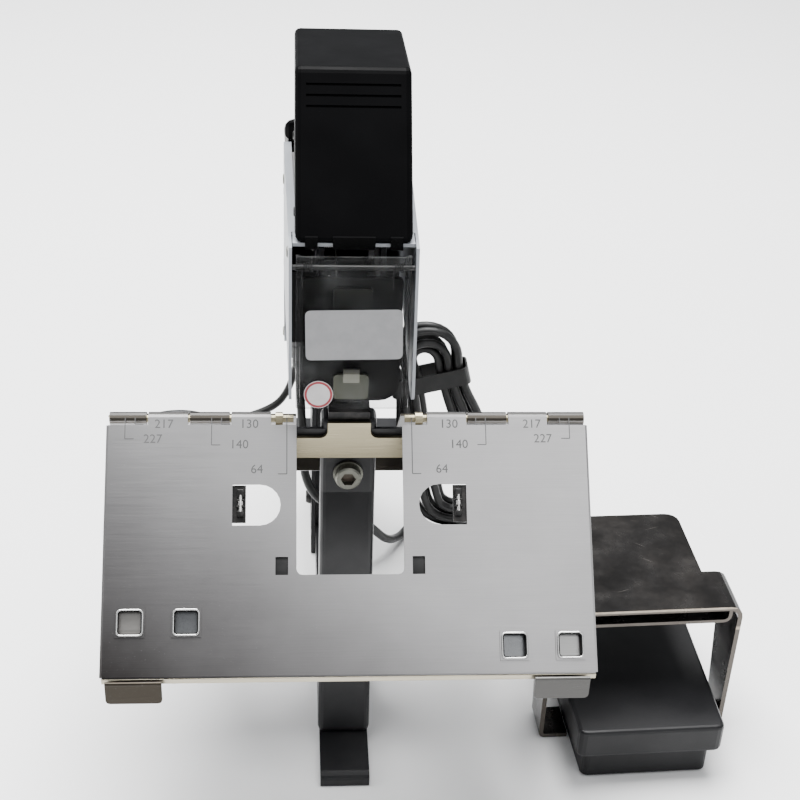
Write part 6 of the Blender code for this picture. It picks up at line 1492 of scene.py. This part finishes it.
@dataclass
class RearControls:
    """The rocker's mark, the knob's dial and the panel's screws."""

    face: float = 0.2450
    knob: tuple[float, float] = (-0.0140, 0.2150)
    dial_inner: float = 0.0098
    dial_outer: float = 0.0116
    dial_half_sweep: float = 135.0
    dial_line: float = 0.0004
    steps: int = 7
    digit_size: float = 0.0026
    digit_gap: float = 0.0018
    rocker: tuple[float, float] = (0.0140, 0.2050)
    rocker_tilt: float = math.radians(18.3)
    mark: Point = (0.0005, 0.0002, 0.0036)
    mark_place: Point = (0, 0.00331, 0.0060)
    screw: Screw = Screw(0.0024, 0.0012)
    screw_across: float = 0.0275
    screw_heights: tuple[float, float] = (0.1700, 0.2350)

    def on_panel(self, x: float, z: float) -> Matrix:
        """A placement just off the rear panel, with Z out of it."""
        return frame_at((x, self.face + SKIN, z), (0, 1, 0))

    def build(self) -> None:
        """Make the dial, the switch mark and the screws."""
        self._dial()
        bm = bmesh.new()
        turned = (Matrix.Translation((self.rocker[0], self.face, self.rocker[1]))
                  @ Matrix.Rotation(self.rocker_tilt, 4, "X"))
        block(bm, self.mark, turned @ Matrix.Translation(self.mark_place))
        make_piece(bm, "rocker_mark", DIAL_INK, "rocker")
        bm = bmesh.new()
        for side in (-1, 1):
            for height in self.screw_heights:
                self.screw.add(bm, self.on_panel(side * self.screw_across, height))
        make_piece(bm, "panel_screws", BRIGHT_STEEL, "frame", True)

    def _dial(self) -> None:
        """Short lines round the knob, with a number at every second one."""
        bm = bmesh.new()
        x, z = self.knob
        middle = (self.dial_inner + self.dial_outer) / 2
        reach = self.dial_outer + self.digit_gap
        for step in range(self.steps):
            turn = math.radians(self.dial_half_sweep * (2 * step / (self.steps - 1) - 1))
            across, rise = -math.sin(turn), math.cos(turn)
            place = self.on_panel(x + across * middle, z + rise * middle) @ Matrix.Rotation(turn, 4, "Z")
            block(bm, (self.dial_line, self.dial_outer - self.dial_inner, 2 * SKIN), place)
            if step % 2 == 0:
                digits(bm, str(step + 1), self.digit_size, self.on_panel(x + across * reach, z + rise * reach))
        make_piece(bm, "force_dial", DIAL_INK, "frame")


@dataclass
class Frame:
    """Bolts through the side plates."""

    plate_face: float = 0.0165
    bolt: Screw = Screw(0.0048, 0.0034, Drive.HEX)
    bolts: tuple = ((0.165, 0.036), (0.210, 0.036), (0.165, 0.140), (0.210, 0.140))

    def build(self) -> None:
        """Make the bolts of both plates."""
        for side, name in ((-1, "left"), (1, "right")):
            bm = bmesh.new()
            for y, z in self.bolts:
                self.bolt.add(bm, frame_at((side * (self.plate_face + SKIN), y, z), (side, 0, 0)))
            make_piece(bm, name + "_frame_bolts", DARK_STEEL, "frame", True)


@dataclass
class FootPedal:
    """The ribbed boot of the pedal's lead and the return spring under the treadle."""

    boot_bore: float = 0.0030
    boot_flange: float = 0.0056
    boot_radius: float = 0.0054
    boot_length: float = 0.0220
    boot_taper: float = 0.00036
    groove: float = 0.0007
    ribs: int = 5
    rib_pitch: float = 0.0040
    rib_heights: tuple[float, ...] = (0.0010, 0.0034, 0.0037, 0.0047)
    coil: float = 0.0067
    wire: float = 0.0007
    turns: int = 5
    coil_steps: int = 100
    press: float = 0.0058
    place: Matrix = field(default_factory=lambda: Matrix.Translation((*PEDAL_PLACE, 0))
                          @ Matrix.Rotation(PEDAL_YAW, 4, "Z"))

    def build(self) -> None:
        """Make the spring and the boot."""
        self._spring()
        profile = [(self.boot_bore, 0.0), (self.boot_flange, 0.0)]
        for step in range(self.ribs):
            crown = self.boot_radius - self.boot_taper * step
            radii = (crown, crown, crown - self.groove, crown - self.groove)
            profile += [(radius, height + self.rib_pitch * step)
                        for radius, height in zip(radii, self.rib_heights)]
        profile += [(self.boot_bore, self.boot_length)]
        bm = bmesh.new()
        spin_profile(bm, profile, 24, self.place @ frame_at((0, *PEDAL_BOSS), (0, 1, 0)))
        make_piece(bm, "pedal_boot", SHEATH, "frame", True)

    def _spring(self) -> None:
        """The return spring, as short as the fully pressed treadle leaves it."""
        low, high = (Vector(corner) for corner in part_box("pedal_spring"))
        middle = (low + high) / 2
        rise = high.z - low.z - 2 * self.wire - self.press
        bm = bmesh.new()
        section = frame_at((self.coil - self.wire, 0, 0), (0, 1, 0))
        ring = bmesh.ops.create_circle(bm, cap_ends=True, radius=self.wire, segments=8, matrix=section)["verts"]
        bmesh.ops.spin(bm, geom=faces_at(ring), cent=(0, 0, 0), axis=(0, 0, 1),
                       dvec=(0, 0, rise / self.coil_steps), angle=2 * math.pi * self.turns,
                       steps=self.coil_steps)
        bmesh.ops.recalc_face_normals(bm, faces=bm.faces)
        bmesh.ops.translate(bm, vec=(middle.x, middle.y, low.z + self.wire), verts=bm.verts)
        piece = make_piece(bm, "treadle_spring", BRIGHT_STEEL, "frame", True)
        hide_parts("pedal_spring")


def dress_nodes() -> None:
    """Give every CAD node its finish."""
    for finish, names in NODE_FINISHES.items():
        for name in names:
            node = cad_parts[name]
            for place in node.material_slots:
                place.material = finish.material()
            LOG.info("%s wears %s", name, finish.name)


def main() -> None:
    """Build the scene in order and note its sizes."""
    logging.basicConfig(level=logging.INFO, format="%(name)s: %(message)s")
    Viewpoint().build()
    Cords().build()
    Studio().build()
    dress_nodes()
    for part in (SaddleTable(), StaplingHead(), RearControls(), Frame(), FootPedal()):
        part.build()
    bpy.context.view_layer.update()


if __name__ == "__main__":
    main()
